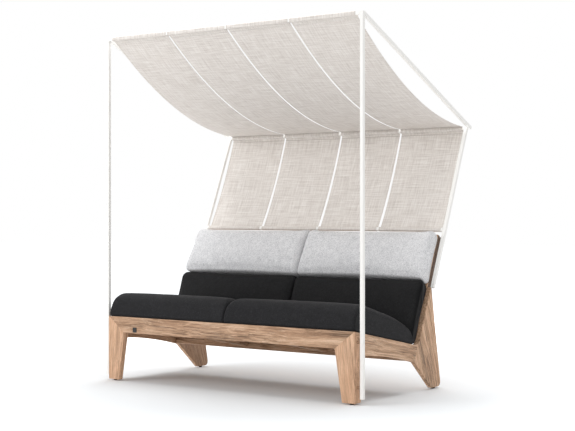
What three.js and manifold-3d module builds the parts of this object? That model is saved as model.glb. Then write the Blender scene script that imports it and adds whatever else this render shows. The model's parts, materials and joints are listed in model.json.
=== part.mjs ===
// Outdoor daybed: a sloping wood seat frame with a plank back, six loose cushions,
// and a sun canopy of four cloth strips on a frame of slim square tube.
// Millimetres, X to the right, Y to the back, Z up. The origin is on the floor,
// under the middle of the whole object.

import * as THREE from 'three';
import { mergeVertices } from 'three/addons/utils/BufferGeometryUtils.js';
import Module from 'manifold-3d';

const wasm = await Module();
wasm.setup();

// Driving dimensions of the seat frame
const frameWidth = 1810;          // over the outer faces of the two side frames
const seatFrontHeight = 394;      // floor to the top front edge of the apron
const seatDepth = 676;            // along the seat, front edge to the line of the back
const seatSlope = THREE.MathUtils.degToRad(11);
const backLean = THREE.MathUtils.degToRad(22.8);
const sideThick = 28;             // boards of the side frames
const frontThick = 35;            // boards of the front frame
const apronHeight = 98;
const edgeRound = 2.5;            // softened edge of every board
const seatGap = 0.3;              // between pieces that are seated on each other

// Legs
const glideHeight = 8;
const glideRadius = 11;
const glideDraft = 1;             // the glide is this much narrower at the floor
const legFaceFootWidth = 82;      // front legs seen from the front, at the foot
const legFaceTopWidth = 130;      // and under the apron
const legSideFootWidth = 62;      // front legs seen from the side, at the foot
const legSideTopWidth = 109;      // and at the height of the underside of the apron
const legFootRound = 4;
const legCornerRound = 10;        // inner corners where leg meets rail
const railFrontDepth = 139;       // side rail at the front leg, top edge to underside
const railRearDepth = 93;         // seat corner to the underside at the rear leg
const railArchRise = 12;          // rise of the arched underside above a straight line
const rearLegAhead = 43;          // front edge of the rear leg before the seat corner
const rearToeBehind = 147;        // front edge of the rear foot behind the seat corner
const rearHeelBehind = 254;       // rear edge of the rear foot behind the seat corner
const rearFootRound = 28;
const prongHeight = 373;          // up the back, tip of the prong that runs on from the leg
const prongRound = 6;
const crookRound = 55;            // hollow where the seat turns up into the back
const frontGlideInset = 33;       // glide centre in from the side face of the leg
const frontGlideBehind = 25;      // glide centre behind the front face of the leg

// Seat deck
const slatCount = 7;
const slatThick = 20;
const slatGap = 20;
const ledgerWidth = 24;
const ledgerHeight = 40;
const bearerWidth = 40;
const bearerHeight = 60;
const bearerFromMiddle = 300;     // centres of the two bearers
const rearRailHeight = 75;
const rearRailThick = 35;
const rearRailFront = 611;        // along the seat, front edge to the face of the rail

// Back
const panelSetback = 0.2;         // face of the planks behind the line of the back
const panelThick = 28;
const panelHeight = 688;          // up the back, from the seat to the top edge
const panelStart = 21;            // up the back, lower edge of the lowest plank
const topBoardHeight = 111;
const boardGap = 4;
const lowerBoardCount = 3;
const battenWidth = 60;
const battenThick = 22;
const battenTopShort = 4;         // battens stop this far below the top edge

// Bare plate on the apron
const plateSize = 30;
const plateThick = 2;
const plateRound = 2;
const plateFromSide = 216;
const plateBelowTop = 76;

// Canopy frame
const canopyFrontHeight = 2105;   // floor to the top of the front posts
const tubeSize = 20;
const tubeWall = 2;
const tubeCornerRadius = 1.5;
const postFromFront = 30;         // centre of the post behind the front face
const postClearance = 31;         // floor to the lower end of the post
const canopySlope = THREE.MathUtils.degToRad(25.2);
const sideRailPast = 8;           // side rail past the line of the uprights
const uprightFoot = 356;          // up the back, lower end of the rear uprights
const uprightSetback = 4;         // centre of the uprights behind the line of the back
const lowerRailAbove = 32;        // centre of the lower rail above the top of the planks
const spacerRadius = 8;
const postSpacerAboveFloor = 92;  // centre of the lower spacer
const postSpacerBelowTop = 58;    // centre of the upper spacer below the apron's top
const capThick = 2.5;
const capPlugLength = 12;
const capPlugClearance = 0.3;

// Canopy cloth
const stripCount = 4;
const clothThick = 2;
const clothInset = 9;             // outer edges of the cloth in from the side frames
const stripGap = 12;
const roofSag = 115;
const backSag = 18;
const pocketDrop = 1.5;           // spare height of the pockets under their tubes
const outerEdgeDraw = 4;          // how far the outer edges draw in down the back
const innerEdgeDraw = 3;

// Cushions
const cushionPairGap = 2;         // between the two cushions of a pair
const seatCushionEnd = 1;         // outer end in from the outer face of the side frame
const seatCushionOverhang = 9;    // in front of the apron
const seatCushionThick = 150;
const seatCushionCrown = 17;
const seatCushionRound = 16;      // rounding of the ends towards the two faces
const seatCushionCorner = 16;     // rounding of the corners of its outline
const backCushionPast = 7;        // outer end past the outer face of the side frame
const backCushionHeight = 371;
const backCushionThick = 109;
const backCushionCrown = 36;
const backCushionRound = 10;
const backCushionCorner = 36;
const backCushionTuck = 26;       // how far the outer end stands back where it rests
const headrestEnd = 3;            // outer end in from the outer face of the side frame
const headrestHeight = 318;
const headrestThick = 123;
const headrestCrown = 14;
const headrestRound = 24;
const headrestCorner = 40;
const headrestTuck = 18;
const cushionRestGap = 0.5;       // between a cushion and what it rests on
const cushionDraw = 6;            // how far the sides draw in between the corners
const seatRearGap = 2;            // between the seat cushion and the foot of the back one

// Sections of the cushions, as shares of depth and thickness, from the face that rests
// on the frame, round the far edge, over the crowned face and back
const seatSectionShares = [
  [0.04, 0], [0.35, 0], [0.65, 0], [0.95, 0], [0.995, 0.1], [0.985, 0.27], [0.94, 0.47],
  [0.86, 0.65], [0.72, 0.8], [0.57, 0.885], [0.42, 0.93], [0.27, 0.975], [0.16, 1],
  [0.085, 0.93], [0.035, 0.74], [0.01, 0.46], [0, 0.2], [0.01, 0.04],
];
const backSectionShares = [
  [0.14, 0], [0.3, 0], [0.7, 0], [0.965, 0], [0.992, 0.04], [0.999, 0.4], [0.996, 0.78],
  [0.965, 0.956], [0.88, 1], [0.6, 1], [0.35, 0.956], [0.22, 0.868], [0.14, 0.747],
  [0.085, 0.615], [0.035, 0.46], [0.006, 0.38], [0.002, 0.27], [0.03, 0.15], [0.075, 0.055],
];
const headrestSectionShares = [
  [0.03, 0.01], [0.3, 0], [0.6, 0], [0.86, 0], [0.945, 0.03], [0.985, 0.12], [1, 0.3],
  [0.985, 0.52], [0.94, 0.685], [0.86, 0.793], [0.7, 0.88], [0.45, 0.956], [0.24, 1],
  [0.11, 0.978], [0.035, 0.89], [0.005, 0.728], [0.002, 0.37], [0.008, 0.06],
];
const ringPoints = 28;            // points round a cushion's section
const middleStations = 7;         // sections along a cushion between its rounded ends
const roundStations = 4;          // sections in each rounded end
const flatSideShare = 0.45;       // of the end rounding, on the face that rests

// One length that runs every cutting tool clear of the piece it cuts
const overrun = frameWidth;

const halfWidth = frameWidth / 2;
const innerHalf = halfWidth - sideThick;
const tubeHalf = tubeSize / 2;
const uprightX = halfWidth + seatGap + tubeHalf;
const postX = uprightX + tubeSize + seatGap;
const legTop = seatFrontHeight - apronHeight;
const legTaper = (legSideTopWidth - legSideFootWidth) / (legTop - glideHeight);

// Places in the side view, as [y, z]

// A place given along the seat from its front edge and above it
function seatPlace(along, above) {
  return [
    along * Math.cos(seatSlope) + above * Math.sin(seatSlope),
    seatFrontHeight - along * Math.sin(seatSlope) + above * Math.cos(seatSlope),
  ];
}

const backCorner = seatPlace(seatDepth, 0);

// A place given up the line of the back from the seat and out in front of it
function backPlace(up, out) {
  return [
    backCorner[0] + up * Math.sin(backLean) - out * Math.cos(backLean),
    backCorner[1] + up * Math.cos(backLean) + out * Math.sin(backLean),
  ];
}

function distance(a, b) {
  return Math.hypot(b[0] - a[0], b[1] - a[1]);
}

// Where the line from a along direction d meets the line from b along direction e
function meet(a, d, b, e) {
  const t = ((b[0] - a[0]) * e[1] - (b[1] - a[1]) * e[0]) / (d[0] * e[1] - d[1] * e[0]);
  return [a[0] + d[0] * t, a[1] + d[1] * t];
}

const backLine = [Math.sin(backLean), Math.cos(backLean)];
const canopyLine = [Math.cos(canopySlope), -Math.sin(canopySlope)];

// Geometry helpers

// A closed outline of corners [x, y, radius], with each rounded corner as an arc
function roundedOutline(corners, stepsPerCorner = 4) {
  const points = [];
  corners.forEach(([x, y, radius = 0], i) => {
    if (radius === 0) {
      points.push(new THREE.Vector2(x, y));
      return;
    }
    const here = new THREE.Vector2(x, y);
    const last = corners[(i + corners.length - 1) % corners.length];
    const next = corners[(i + 1) % corners.length];
    const toLast = new THREE.Vector2(last[0], last[1]).sub(here).normalize();
    const toNext = new THREE.Vector2(next[0], next[1]).sub(here).normalize();
    const half = Math.acos(THREE.MathUtils.clamp(toLast.dot(toNext), -1, 1)) / 2;
    const centre = toLast.clone().add(toNext).normalize();
    centre.multiplyScalar(radius / Math.sin(half)).add(here);
    const from = here.clone().addScaledVector(toLast, radius / Math.tan(half)).sub(centre);
    const turn = Math.PI - 2 * half;
    const sense = toLast.cross(toNext) < 0 ? 1 : -1;
    for (let k = 0; k <= stepsPerCorner; k++) {
      const arm = from.clone().rotateAround(new THREE.Vector2(), (sense * turn * k) / stepsPerCorner);
      points.push(arm.add(centre));
    }
  });
  return points;
}

function rectangle(x0, y0, x1, y1, radius = 0) {
  return [
    [x0, y0, radius],
    [x1, y0, radius],
    [x1, y1, radius],
    [x0, y1, radius],
  ];
}

// An outline carried straight for the given thickness, its edges softened by round
function extrude(points, thickness, round = 0, holes = []) {
  const shape = new THREE.Shape(points);
  holes.forEach((hole) => shape.holes.push(new THREE.Path(hole)));
  const geometry = new THREE.ExtrudeGeometry(shape, {
    depth: thickness - 2 * round,
    bevelEnabled: round > 0,
    bevelThickness: round,
    bevelSize: round,
    bevelOffset: -round,
    bevelSegments: 2,
    steps: 1,
  });
  geometry.translate(0, 0, round);
  return geometry;
}

const axisX = new THREE.Vector3(1, 0, 0);
const axisY = new THREE.Vector3(0, 1, 0);
const axisZ = new THREE.Vector3(0, 0, 1);

// Side view outlines are drawn as (y, z) and carried along +X from the given x
function sideView(points, fromX, thickness, round = 0, holes = []) {
  const geometry = extrude(points, thickness, round, holes);
  geometry.applyMatrix4(new THREE.Matrix4().makeBasis(axisY, axisZ, axisX));
  return geometry.translate(fromX, 0, 0);
}

// Front view outlines are drawn as (x, z) and carried along +Y from the given y
function frontView(points, fromY, thickness, round = 0) {
  const geometry = extrude(points, thickness, round);
  geometry.applyMatrix4(new THREE.Matrix4().makeBasis(axisX, axisZ, axisY.clone().negate()));
  return geometry.translate(0, fromY + thickness, 0);
}

function solid(geometry) {
  const bare = geometry.clone();
  bare.deleteAttribute('normal');
  bare.deleteAttribute('uv');
  const merged = mergeVertices(bare);
  return new wasm.Manifold(new wasm.Mesh({
    numProp: 3,
    vertProperties: Float32Array.from(merged.attributes.position.array),
    triVerts: Uint32Array.from(merged.index.array),
  }));
}

function geometryOf(body) {
  const mesh = body.getMesh();
  const geometry = new THREE.BufferGeometry();
  geometry.setAttribute('position', new THREE.BufferAttribute(Float32Array.from(mesh.vertProperties), 3));
  geometry.setIndex(new THREE.BufferAttribute(Uint32Array.from(mesh.triVerts), 1));
  geometry.computeVertexNormals();
  return geometry;
}

// The same piece for the other side, reflected in the middle plane
function mirrored(geometry) {
  const other = geometry.index ? geometry.toNonIndexed() : geometry.clone();
  other.deleteAttribute('normal');
  other.deleteAttribute('uv');
  other.scale(-1, 1, 1);
  const places = other.attributes.position;
  for (let i = 0; i < places.count; i += 3) {
    const a = new THREE.Vector3().fromBufferAttribute(places, i + 1);
    const b = new THREE.Vector3().fromBufferAttribute(places, i + 2);
    places.setXYZ(i + 1, b.x, b.y, b.z);
    places.setXYZ(i + 2, a.x, a.y, a.z);
  }
  other.computeVertexNormals();
  return other;
}

// The half plane on the left of the line from a to b, less half a seat gap
function halfPlane(a, b) {
  const from = new THREE.Vector2(...a);
  const way = new THREE.Vector2(...b).sub(from).normalize();
  const left = new THREE.Vector2(-way.y, way.x);
  const start = from.clone().addScaledVector(way, -overrun).addScaledVector(left, seatGap / 2);
  const end = from.clone().addScaledVector(way, overrun).addScaledVector(left, seatGap / 2);
  return [
    start,
    end,
    end.clone().addScaledVector(left, overrun),
    start.clone().addScaledVector(left, overrun),
  ];
}

// Everything on the left of the line from a to b in the side view
function sideCut(a, b) {
  return solid(sideView(halfPlane(a, b), -overrun, 2 * overrun));
}

// Materials

function material(colour, roughness, metalness = 0) {
  return new THREE.MeshStandardMaterial({ color: colour, roughness, metalness });
}

const teak = () => material(0xc8a388, 0.62);
const hiddenTeak = () => material(0xb08a6c, 0.7);
const whiteMetal = () => material(0xf6f5f1, 0.38, 0.1);
const whiteCap = () => material(0xeeeeea, 0.5);
const blackGlide = () => material(0x1c1c1d, 0.6);
const canopyCloth = () => material(0xddd6cf, 0.9);
const charcoalCloth = () => material(0x323234, 0.95);
const darkCloth = () => material(0x2a2a2b, 0.95);
const greyCloth = () => material(0xcdcdd0, 0.95);

const daybed = new THREE.Group();
const sides = [['left', -1], ['right', 1]];

function add(parent, name, geometry, look) {
  const mesh = new THREE.Mesh(geometry, look);
  mesh.name = name;
  parent.add(mesh);
  return mesh;
}

// A piece of the right side and its reflection on the left
function addPair(parent, name, geometry, look) {
  add(parent, `${name}_right`, geometry, look());
  add(parent, `${name}_left`, mirrored(geometry), look());
}

// Front frame: one blank, cut at the mitres into the apron and the two leg faces

function frontBlank() {
  const footX = halfWidth - legFaceFootWidth;
  const topX = halfWidth - legFaceTopWidth;
  const outline = roundedOutline([
    [-halfWidth, glideHeight, legFootRound],
    [-footX, glideHeight, legFootRound],
    [-topX, legTop, legCornerRound],
    [topX, legTop, legCornerRound],
    [footX, glideHeight, legFootRound],
    [halfWidth, glideHeight, legFootRound],
    [halfWidth, seatFrontHeight],
    [-halfWidth, seatFrontHeight],
  ], 3);
  // The top is planed to the slope of the seat
  const plane = sideCut(seatPlace(overrun, 0), [0, seatFrontHeight]);
  return solid(frontView(outline, 0, frontThick, edgeRound)).intersect(plane);
}

// The front and side boards of a leg meet at a mitre from the outer to the inner corner
function cornerMitre(from, to) {
  return solid(extrude(halfPlane(from, to), 2 * overrun).translate(0, 0, -overrun));
}

const outerCorner = [halfWidth, 0];
const innerCorner = [innerHalf, frontThick];

function buildFrontFrame() {
  const top = [halfWidth, seatFrontHeight];
  const inner = [halfWidth - legFaceTopWidth, legTop];
  const blank = frontBlank();
  const apronSide = frontView(halfPlane(inner, top), -overrun, 2 * overrun);
  const legSide = frontView(halfPlane(top, inner), -overrun, 2 * overrun);
  const corner = cornerMitre(outerCorner, innerCorner);
  const apronEnd = solid(apronSide).intersect(corner);
  const apron = blank.intersect(apronEnd).intersect(solid(mirrored(geometryOf(apronEnd))));
  const leg = blank.intersect(solid(legSide)).intersect(corner);
  add(daybed, 'apron_front', geometryOf(apron), teak());
  addPair(daybed, 'front_leg_face', geometryOf(leg), teak);
}

buildFrontFrame();

// Side frames: one blank, cut at its two joints into front leg, rail and rear leg

const railFrontCorner = [
  legSideFootWidth + (seatFrontHeight - railFrontDepth - glideHeight) * legTaper,
  seatFrontHeight - railFrontDepth,
];
const railRearCorner = [backCorner[0] - rearLegAhead, backCorner[1] - railRearDepth];

// The middle of the hollow at the crook, where the rail meets the rear leg
const crookAngle = Math.PI / 2 - seatSlope + backLean;
const crookBisector = (Math.PI - seatSlope + Math.PI / 2 - backLean) / 2;
const crookOffset = crookRound * (1 / Math.sin(crookAngle / 2) - 1);
const crookMiddle = [
  backCorner[0] + crookOffset * Math.cos(crookBisector),
  backCorner[1] + crookOffset * Math.sin(crookBisector),
];
const rearToe = [backCorner[0] + rearToeBehind, glideHeight];
const rearHeel = [backCorner[0] + rearHeelBehind, glideHeight];
const prongTip = backPlace(prongHeight, 0);

// Points of the arched underside, a parabola over the straight line between its ends
function railArch(steps) {
  const points = [];
  for (let k = 1; k < steps; k++) {
    const share = k / steps;
    points.push([
      THREE.MathUtils.lerp(railFrontCorner[0], railRearCorner[0], share),
      THREE.MathUtils.lerp(railFrontCorner[1], railRearCorner[1], share)
        + 4 * railArchRise * share * (1 - share),
    ]);
  }
  return points;
}

function buildSideFrames() {
  const top = [0, seatFrontHeight];
  const outline = roundedOutline([
    [0, glideHeight, legFootRound],
    [legSideFootWidth, glideHeight, legFootRound],
    [...railFrontCorner, legCornerRound],
    ...railArch(8),
    [...railRearCorner, legCornerRound],
    [...rearToe, legFootRound],
    [...rearHeel, rearFootRound],
    [...prongTip, prongRound],
    [...backCorner, crookRound],
    top,
  ], 6);
  const blank = solid(sideView(outline, innerHalf, sideThick, edgeRound));
  const behindFace = cornerMitre(innerCorner, outerCorner);
  const leg = blank.intersect(sideCut(railFrontCorner, top)).intersect(behindFace);
  const rail = blank
    .intersect(sideCut(top, railFrontCorner))
    .intersect(sideCut(railRearCorner, crookMiddle))
    .intersect(behindFace);
  const rear = blank.intersect(sideCut(crookMiddle, railRearCorner));
  addPair(daybed, 'front_leg_side', geometryOf(leg), teak);
  addPair(daybed, 'side_rail', geometryOf(rail), teak);
  addPair(daybed, 'rear_leg', geometryOf(rear), teak);
}

buildSideFrames();

function buildGlides() {
  const places = {
    front: [halfWidth - frontGlideInset, frontGlideBehind],
    rear: [halfWidth - sideThick / 2, (rearToe[0] + rearHeel[0] - rearFootRound) / 2],
  };
  const height = glideHeight - seatGap;
  Object.entries(places).forEach(([end, [x, y]]) => {
    sides.forEach(([side, sign]) => {
      const glide = new THREE.CylinderGeometry(glideRadius, glideRadius - glideDraft, height, 24);
      glide.rotateX(Math.PI / 2);
      const mesh = add(daybed, `glide_${end}_${side}`, glide, blackGlide());
      mesh.position.set(sign * x, y, height / 2);
    });
  });
}

buildGlides();

function buildPlate() {
  const half = plateSize / 2;
  const outline = roundedOutline(rectangle(-half, -half, half, half, plateRound), 3);
  const plate = add(daybed, 'front_plate',
    frontView(outline, -plateThick - seatGap, plateThick), blackGlide());
  plate.position.set(plateFromSide - halfWidth, 0, seatFrontHeight - plateBelowTop);
}

buildPlate();

// Seat deck: built in a group that lies along the slope of the seat

// A board with its lowest corner at [x, y, z], drawn on its wide face
function board([x, y, z], [sizeX, sizeY, sizeZ]) {
  if (sizeZ < sizeY) {
    const outline = roundedOutline(rectangle(x, y, x + sizeX, y + sizeY));
    return extrude(outline, sizeZ, edgeRound).translate(0, 0, z);
  }
  const outline = roundedOutline(rectangle(x, z, x + sizeX, z + sizeZ));
  return frontView(outline, y, sizeY, edgeRound);
}

const deck = new THREE.Group();
deck.position.set(0, 0, seatFrontHeight);
deck.rotation.x = -seatSlope;
daybed.add(deck);

const boardHalf = innerHalf - seatGap;
const apronLean = Math.tan(seatSlope);

// Where the upright rear face of the apron is, at a depth under the seat
function behindApron(under) {
  return frontThick / Math.cos(seatSlope) + seatGap + under * apronLean;
}

function buildDeck() {
  const under = slatThick + seatGap;
  const frontOfRail = rearRailFront - seatGap;
  add(deck, 'rear_rail', board([-boardHalf, rearRailFront, -under - rearRailHeight],
    [2 * boardHalf, rearRailThick, rearRailHeight]), teak());

  const ledgerStart = behindApron(under + ledgerHeight);
  addPair(deck, 'seat_ledger', board([boardHalf - ledgerWidth, ledgerStart, -under - ledgerHeight],
    [ledgerWidth, frontOfRail - ledgerStart, ledgerHeight]), hiddenTeak);

  const bearerStart = behindApron(under + bearerHeight);
  addPair(deck, 'seat_bearer', board(
    [bearerFromMiddle - bearerWidth / 2, bearerStart, -under - bearerHeight],
    [bearerWidth, frontOfRail - bearerStart, bearerHeight]), hiddenTeak);

  const slatStart = behindApron(slatThick);
  const room = rearRailFront + rearRailThick + slatGap - slatStart;
  const pitch = (room + slatGap) / slatCount;
  for (let k = 0; k < slatCount; k++) {
    add(deck, `seat_slat_${k + 1}`, board([-boardHalf, slatStart + k * pitch, -slatThick],
      [2 * boardHalf, pitch - slatGap, slatThick]), hiddenTeak());
  }
}

buildDeck();

// Back: planks between the side frames, held together by battens behind them.
// In this group -Y points out of the face of the back and Z runs up it.

const back = new THREE.Group();
back.position.set(0, ...backCorner);
back.rotation.x = -backLean;
daybed.add(back);

function buildBack() {
  const lowerRoom = panelHeight - topBoardHeight - panelStart;
  const pitch = lowerRoom / lowerBoardCount;
  for (let k = 0; k < lowerBoardCount; k++) {
    add(back, `back_board_${k + 1}`, board([-boardHalf, panelSetback, panelStart + k * pitch],
      [2 * boardHalf, panelThick, pitch - boardGap]), teak());
  }
  add(back, 'back_board_top', board([-boardHalf, panelSetback, panelHeight - topBoardHeight],
    [2 * boardHalf, panelThick, topBoardHeight]), teak());

  const battenBack = panelSetback + panelThick + seatGap;
  const battenStart = panelStart + boardGap;
  const size = [battenWidth, battenThick, panelHeight - battenTopShort - battenStart];
  const sideX = boardHalf - battenWidth;
  const places = { left: -boardHalf, middle: -battenWidth / 2, right: sideX };
  Object.entries(places).forEach(([name, x]) => {
    add(back, `back_batten_${name}`, board([x, battenBack, battenStart], size), hiddenTeak());
  });
}

buildBack();

// Canopy frame of square tube

const tubeOutline = roundedOutline(
  rectangle(-tubeHalf, -tubeHalf, tubeHalf, tubeHalf, tubeCornerRadius), 2);
const boreHalf = tubeHalf - tubeWall;
const boreOutline = roundedOutline(rectangle(-boreHalf, -boreHalf, boreHalf, boreHalf));

// An open tube along +Z
function squareTube(length) {
  return extrude(tubeOutline, length, 0, [boreOutline]);
}

// A tube along +Z that a welded plate closes at its far end
function closedTube(length) {
  const bore = extrude(boreOutline, length - tubeWall + overrun).translate(0, 0, -overrun);
  return geometryOf(solid(extrude(tubeOutline, length)).subtract(solid(bore)));
}

// A plug with its plate at zero and its shank along +Z, into the tube
function endCap() {
  const plugHalf = boreHalf - capPlugClearance;
  const shank = roundedOutline(rectangle(-plugHalf, -plugHalf, plugHalf, plugHalf));
  const whole = solid(extrude(tubeOutline, capThick))
    .add(solid(extrude(shank, capThick + capPlugLength)));
  return geometryOf(whole);
}

// A rail between the two sides of the canopy frame
function crossRail(parent, name, halfLength) {
  const tube = squareTube(2 * halfLength).rotateY(Math.PI / 2).translate(-halfLength, 0, 0);
  return add(parent, name, tube, whiteMetal());
}

const frontRailHeight = canopyFrontHeight - tubeHalf;

function buildPosts() {
  const start = postClearance + capThick + seatGap;
  sides.forEach(([side, sign]) => {
    const post = add(daybed, `canopy_post_${side}`, closedTube(canopyFrontHeight - start),
      whiteMetal());
    post.position.set(sign * postX, postFromFront, start);
    const cap = add(daybed, `post_cap_${side}`, endCap(), whiteCap());
    cap.position.set(sign * postX, postFromFront, postClearance);
  });
  const rail = crossRail(daybed, 'canopy_front_rail', postX - tubeHalf - seatGap);
  rail.position.set(0, postFromFront, frontRailHeight);
}

buildPosts();

// Side rails slope down from the tops of the posts and run past the uprights, which
// lean with the back and end flush under the top of the rails
const railTopStart = [postFromFront + tubeHalf + seatGap, canopyFrontHeight];
const uprightStart = backPlace(uprightFoot, -uprightSetback);
const crossing = meet(railTopStart, canopyLine, uprightStart, backLine);
const sideRailLength = distance(railTopStart, crossing) + sideRailPast;
const uprightLength = distance(uprightStart, crossing) - tubeHalf;
const rearRailUp = uprightFoot + uprightLength - tubeHalf;
const lowerRailUp = panelHeight + lowerRailAbove;

function buildSideRails() {
  const middle = [
    railTopStart[0] - tubeHalf * Math.sin(canopySlope),
    railTopStart[1] - tubeHalf * Math.cos(canopySlope),
  ];
  // The front end is sawn upright to seat on the post
  const upright = railTopStart[0] - seatGap / 2;
  const saw = sideCut([upright, canopyFrontHeight], [upright, 0]);
  sides.forEach(([side, sign]) => {
    const tube = squareTube(sideRailLength + tubeSize).translate(0, 0, -tubeSize);
    tube.rotateX(-Math.PI / 2 - canopySlope);
    tube.translate(sign * postX, ...middle);
    add(daybed, `canopy_side_rail_${side}`, geometryOf(solid(tube).intersect(saw)), whiteMetal());
    const cap = add(daybed, `side_rail_cap_${side}`, endCap(), whiteCap());
    const reach = sideRailLength + seatGap + capThick;
    cap.position.set(sign * postX, middle[0] + reach * canopyLine[0],
      middle[1] + reach * canopyLine[1]);
    cap.rotation.x = Math.PI / 2 - canopySlope;
  });
}

buildSideRails();

function buildUprights() {
  sides.forEach(([side, sign]) => {
    const upright = add(daybed, `canopy_upright_${side}`, closedTube(uprightLength),
      whiteMetal());
    upright.position.set(sign * uprightX, ...uprightStart);
    upright.rotation.x = -backLean;
  });
  const rails = { canopy_rear_rail: rearRailUp, canopy_lower_rail: lowerRailUp };
  Object.entries(rails).forEach(([name, up]) => {
    const rail = crossRail(back, name, uprightX - tubeHalf - seatGap);
    rail.position.set(0, uprightSetback, up);
  });
}

buildUprights();

function buildSpacers() {
  const length = postX - tubeHalf - halfWidth - 2 * seatGap;
  const x = (halfWidth + postX - tubeHalf) / 2;
  const heights = { low: postSpacerAboveFloor, high: seatFrontHeight - postSpacerBelowTop };
  Object.entries(heights).forEach(([level, height]) => {
    sides.forEach(([side, sign]) => {
      const spacer = new THREE.CylinderGeometry(spacerRadius, spacerRadius, length, 20);
      spacer.rotateZ(Math.PI / 2);
      const mesh = add(daybed, `post_spacer_${level}_${side}`, spacer, teak());
      mesh.position.set(sign * x, postFromFront, height);
    });
  });
}

buildSpacers();

// Canopy cloth: each strip has a sewn pocket at the front rail, the rear rail and
// the lower rail, and hangs in a curve between them

// A band of cloth along a hanging curve between two places
function hangingBand(from, to, sag, sagWay, steps) {
  const places = [];
  for (let k = 0; k <= steps; k++) {
    const share = k / steps;
    const depth = 4 * sag * share * (1 - share);
    places.push(new THREE.Vector2(
      THREE.MathUtils.lerp(from[0], to[0], share) + sagWay[0] * depth,
      THREE.MathUtils.lerp(from[1], to[1], share) + sagWay[1] * depth,
    ));
  }
  const upper = [];
  const lower = [];
  places.forEach((place, k) => {
    const before = places[Math.max(k - 1, 0)];
    const after = places[Math.min(k + 1, steps)];
    const way = after.clone().sub(before).normalize();
    const across = new THREE.Vector2(-way.y, way.x);
    upper.push(place.clone().addScaledVector(across, clothThick / 2));
    lower.push(place.clone().addScaledVector(across, -clothThick / 2));
  });
  return lower.concat(upper.reverse());
}

// Outer and inner outline of a pocket round a tube that is turned by the given lean
function pocketOutlines(centre, lean) {
  const reach = tubeHalf + seatGap;
  const place = (corners, radius) => roundedOutline(corners.map(([x, y]) => {
    const turned = new THREE.Vector2(x, y).rotateAround(new THREE.Vector2(), -lean);
    return [centre[0] + turned.x, centre[1] + turned.y, radius];
  }), 2);
  const inner = rectangle(-reach, -reach - pocketDrop, reach, reach);
  const wall = reach + clothThick;
  const outer = rectangle(-wall, -wall - pocketDrop, wall, wall);
  return [place(outer, tubeCornerRadius + clothThick), place(inner, tubeCornerRadius)];
}

function stripBody(fromX, width) {
  const frontCentre = [postFromFront, frontRailHeight];
  const rearCentre = backPlace(rearRailUp, -uprightSetback);
  const lowerCentre = backPlace(lowerRailUp, -uprightSetback);
  const wall = tubeHalf + seatGap + clothThick / 2;

  // The roof leaves the front pocket behind and lies over the rear rail
  const roofStart = [postFromFront + wall, frontRailHeight - tubeHalf];
  const roofEnd = backPlace(rearRailUp + wall, tubeHalf - uprightSetback);
  const backStart = backPlace(rearRailUp + tubeHalf, -uprightSetback - wall);
  const backEnd = backPlace(lowerRailUp - tubeHalf, -uprightSetback - wall);
  const behind = [Math.cos(backLean), -Math.sin(backLean)];

  const pieces = [
    pocketOutlines(frontCentre, 0),
    pocketOutlines(rearCentre, backLean),
    pocketOutlines(lowerCentre, backLean),
  ].map(([outer, inner]) => sideView(outer, fromX, width, 0, [inner]));
  pieces.push(sideView(hangingBand(roofStart, roofEnd, roofSag, [0, -1], 20), fromX, width));
  pieces.push(sideView(hangingBand(backStart, backEnd, backSag, behind, 10), fromX, width));
  return pieces.map(solid).reduce((whole, next) => whole.add(next));
}

// Down the back the cloth draws in from both edges
function drawnIn(geometry, fromX, width, drawLeft, drawRight) {
  const top = backPlace(rearRailUp, -uprightSetback)[1];
  const bottom = backPlace(lowerRailUp, -uprightSetback)[1];
  const places = geometry.attributes.position;
  for (let i = 0; i < places.count; i++) {
    const share = THREE.MathUtils.clamp((top - places.getZ(i)) / (top - bottom), 0, 1);
    const across = (places.getX(i) - fromX) / width;
    const left = fromX + drawLeft * share;
    const right = fromX + width - drawRight * share;
    places.setX(i, THREE.MathUtils.lerp(left, right, across));
  }
  geometry.computeVertexNormals();
  return geometry;
}

function buildStrips() {
  const clothSpan = frameWidth - 2 * clothInset;
  const pitch = (clothSpan + stripGap) / stripCount;
  const width = pitch - stripGap;
  for (let k = 0; k < stripCount; k++) {
    const fromX = -clothSpan / 2 + k * pitch;
    const drawLeft = k === 0 ? outerEdgeDraw : innerEdgeDraw;
    const drawRight = k === stripCount - 1 ? outerEdgeDraw : innerEdgeDraw;
    const flat = geometryOf(stripBody(fromX, width));
    const geometry = drawnIn(flat, fromX, width, drawLeft, drawRight);
    add(daybed, `canopy_strip_${k + 1}`, geometry, canopyCloth());
  }
}

buildStrips();

// Cushions: a section carried along X, rounded at both ends, crowned on the far face
// and drawn in between the corners. The section lies in Y and Z and rests on Z = 0.
// The end at the far X is the outer one and stands back where the cushion rests.

// How much a rounded end takes off the section, at a distance past the start of the round
function roundedOff(round, past) {
  return round - Math.sqrt(round ** 2 - Math.max(past, 0) ** 2);
}

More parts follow.
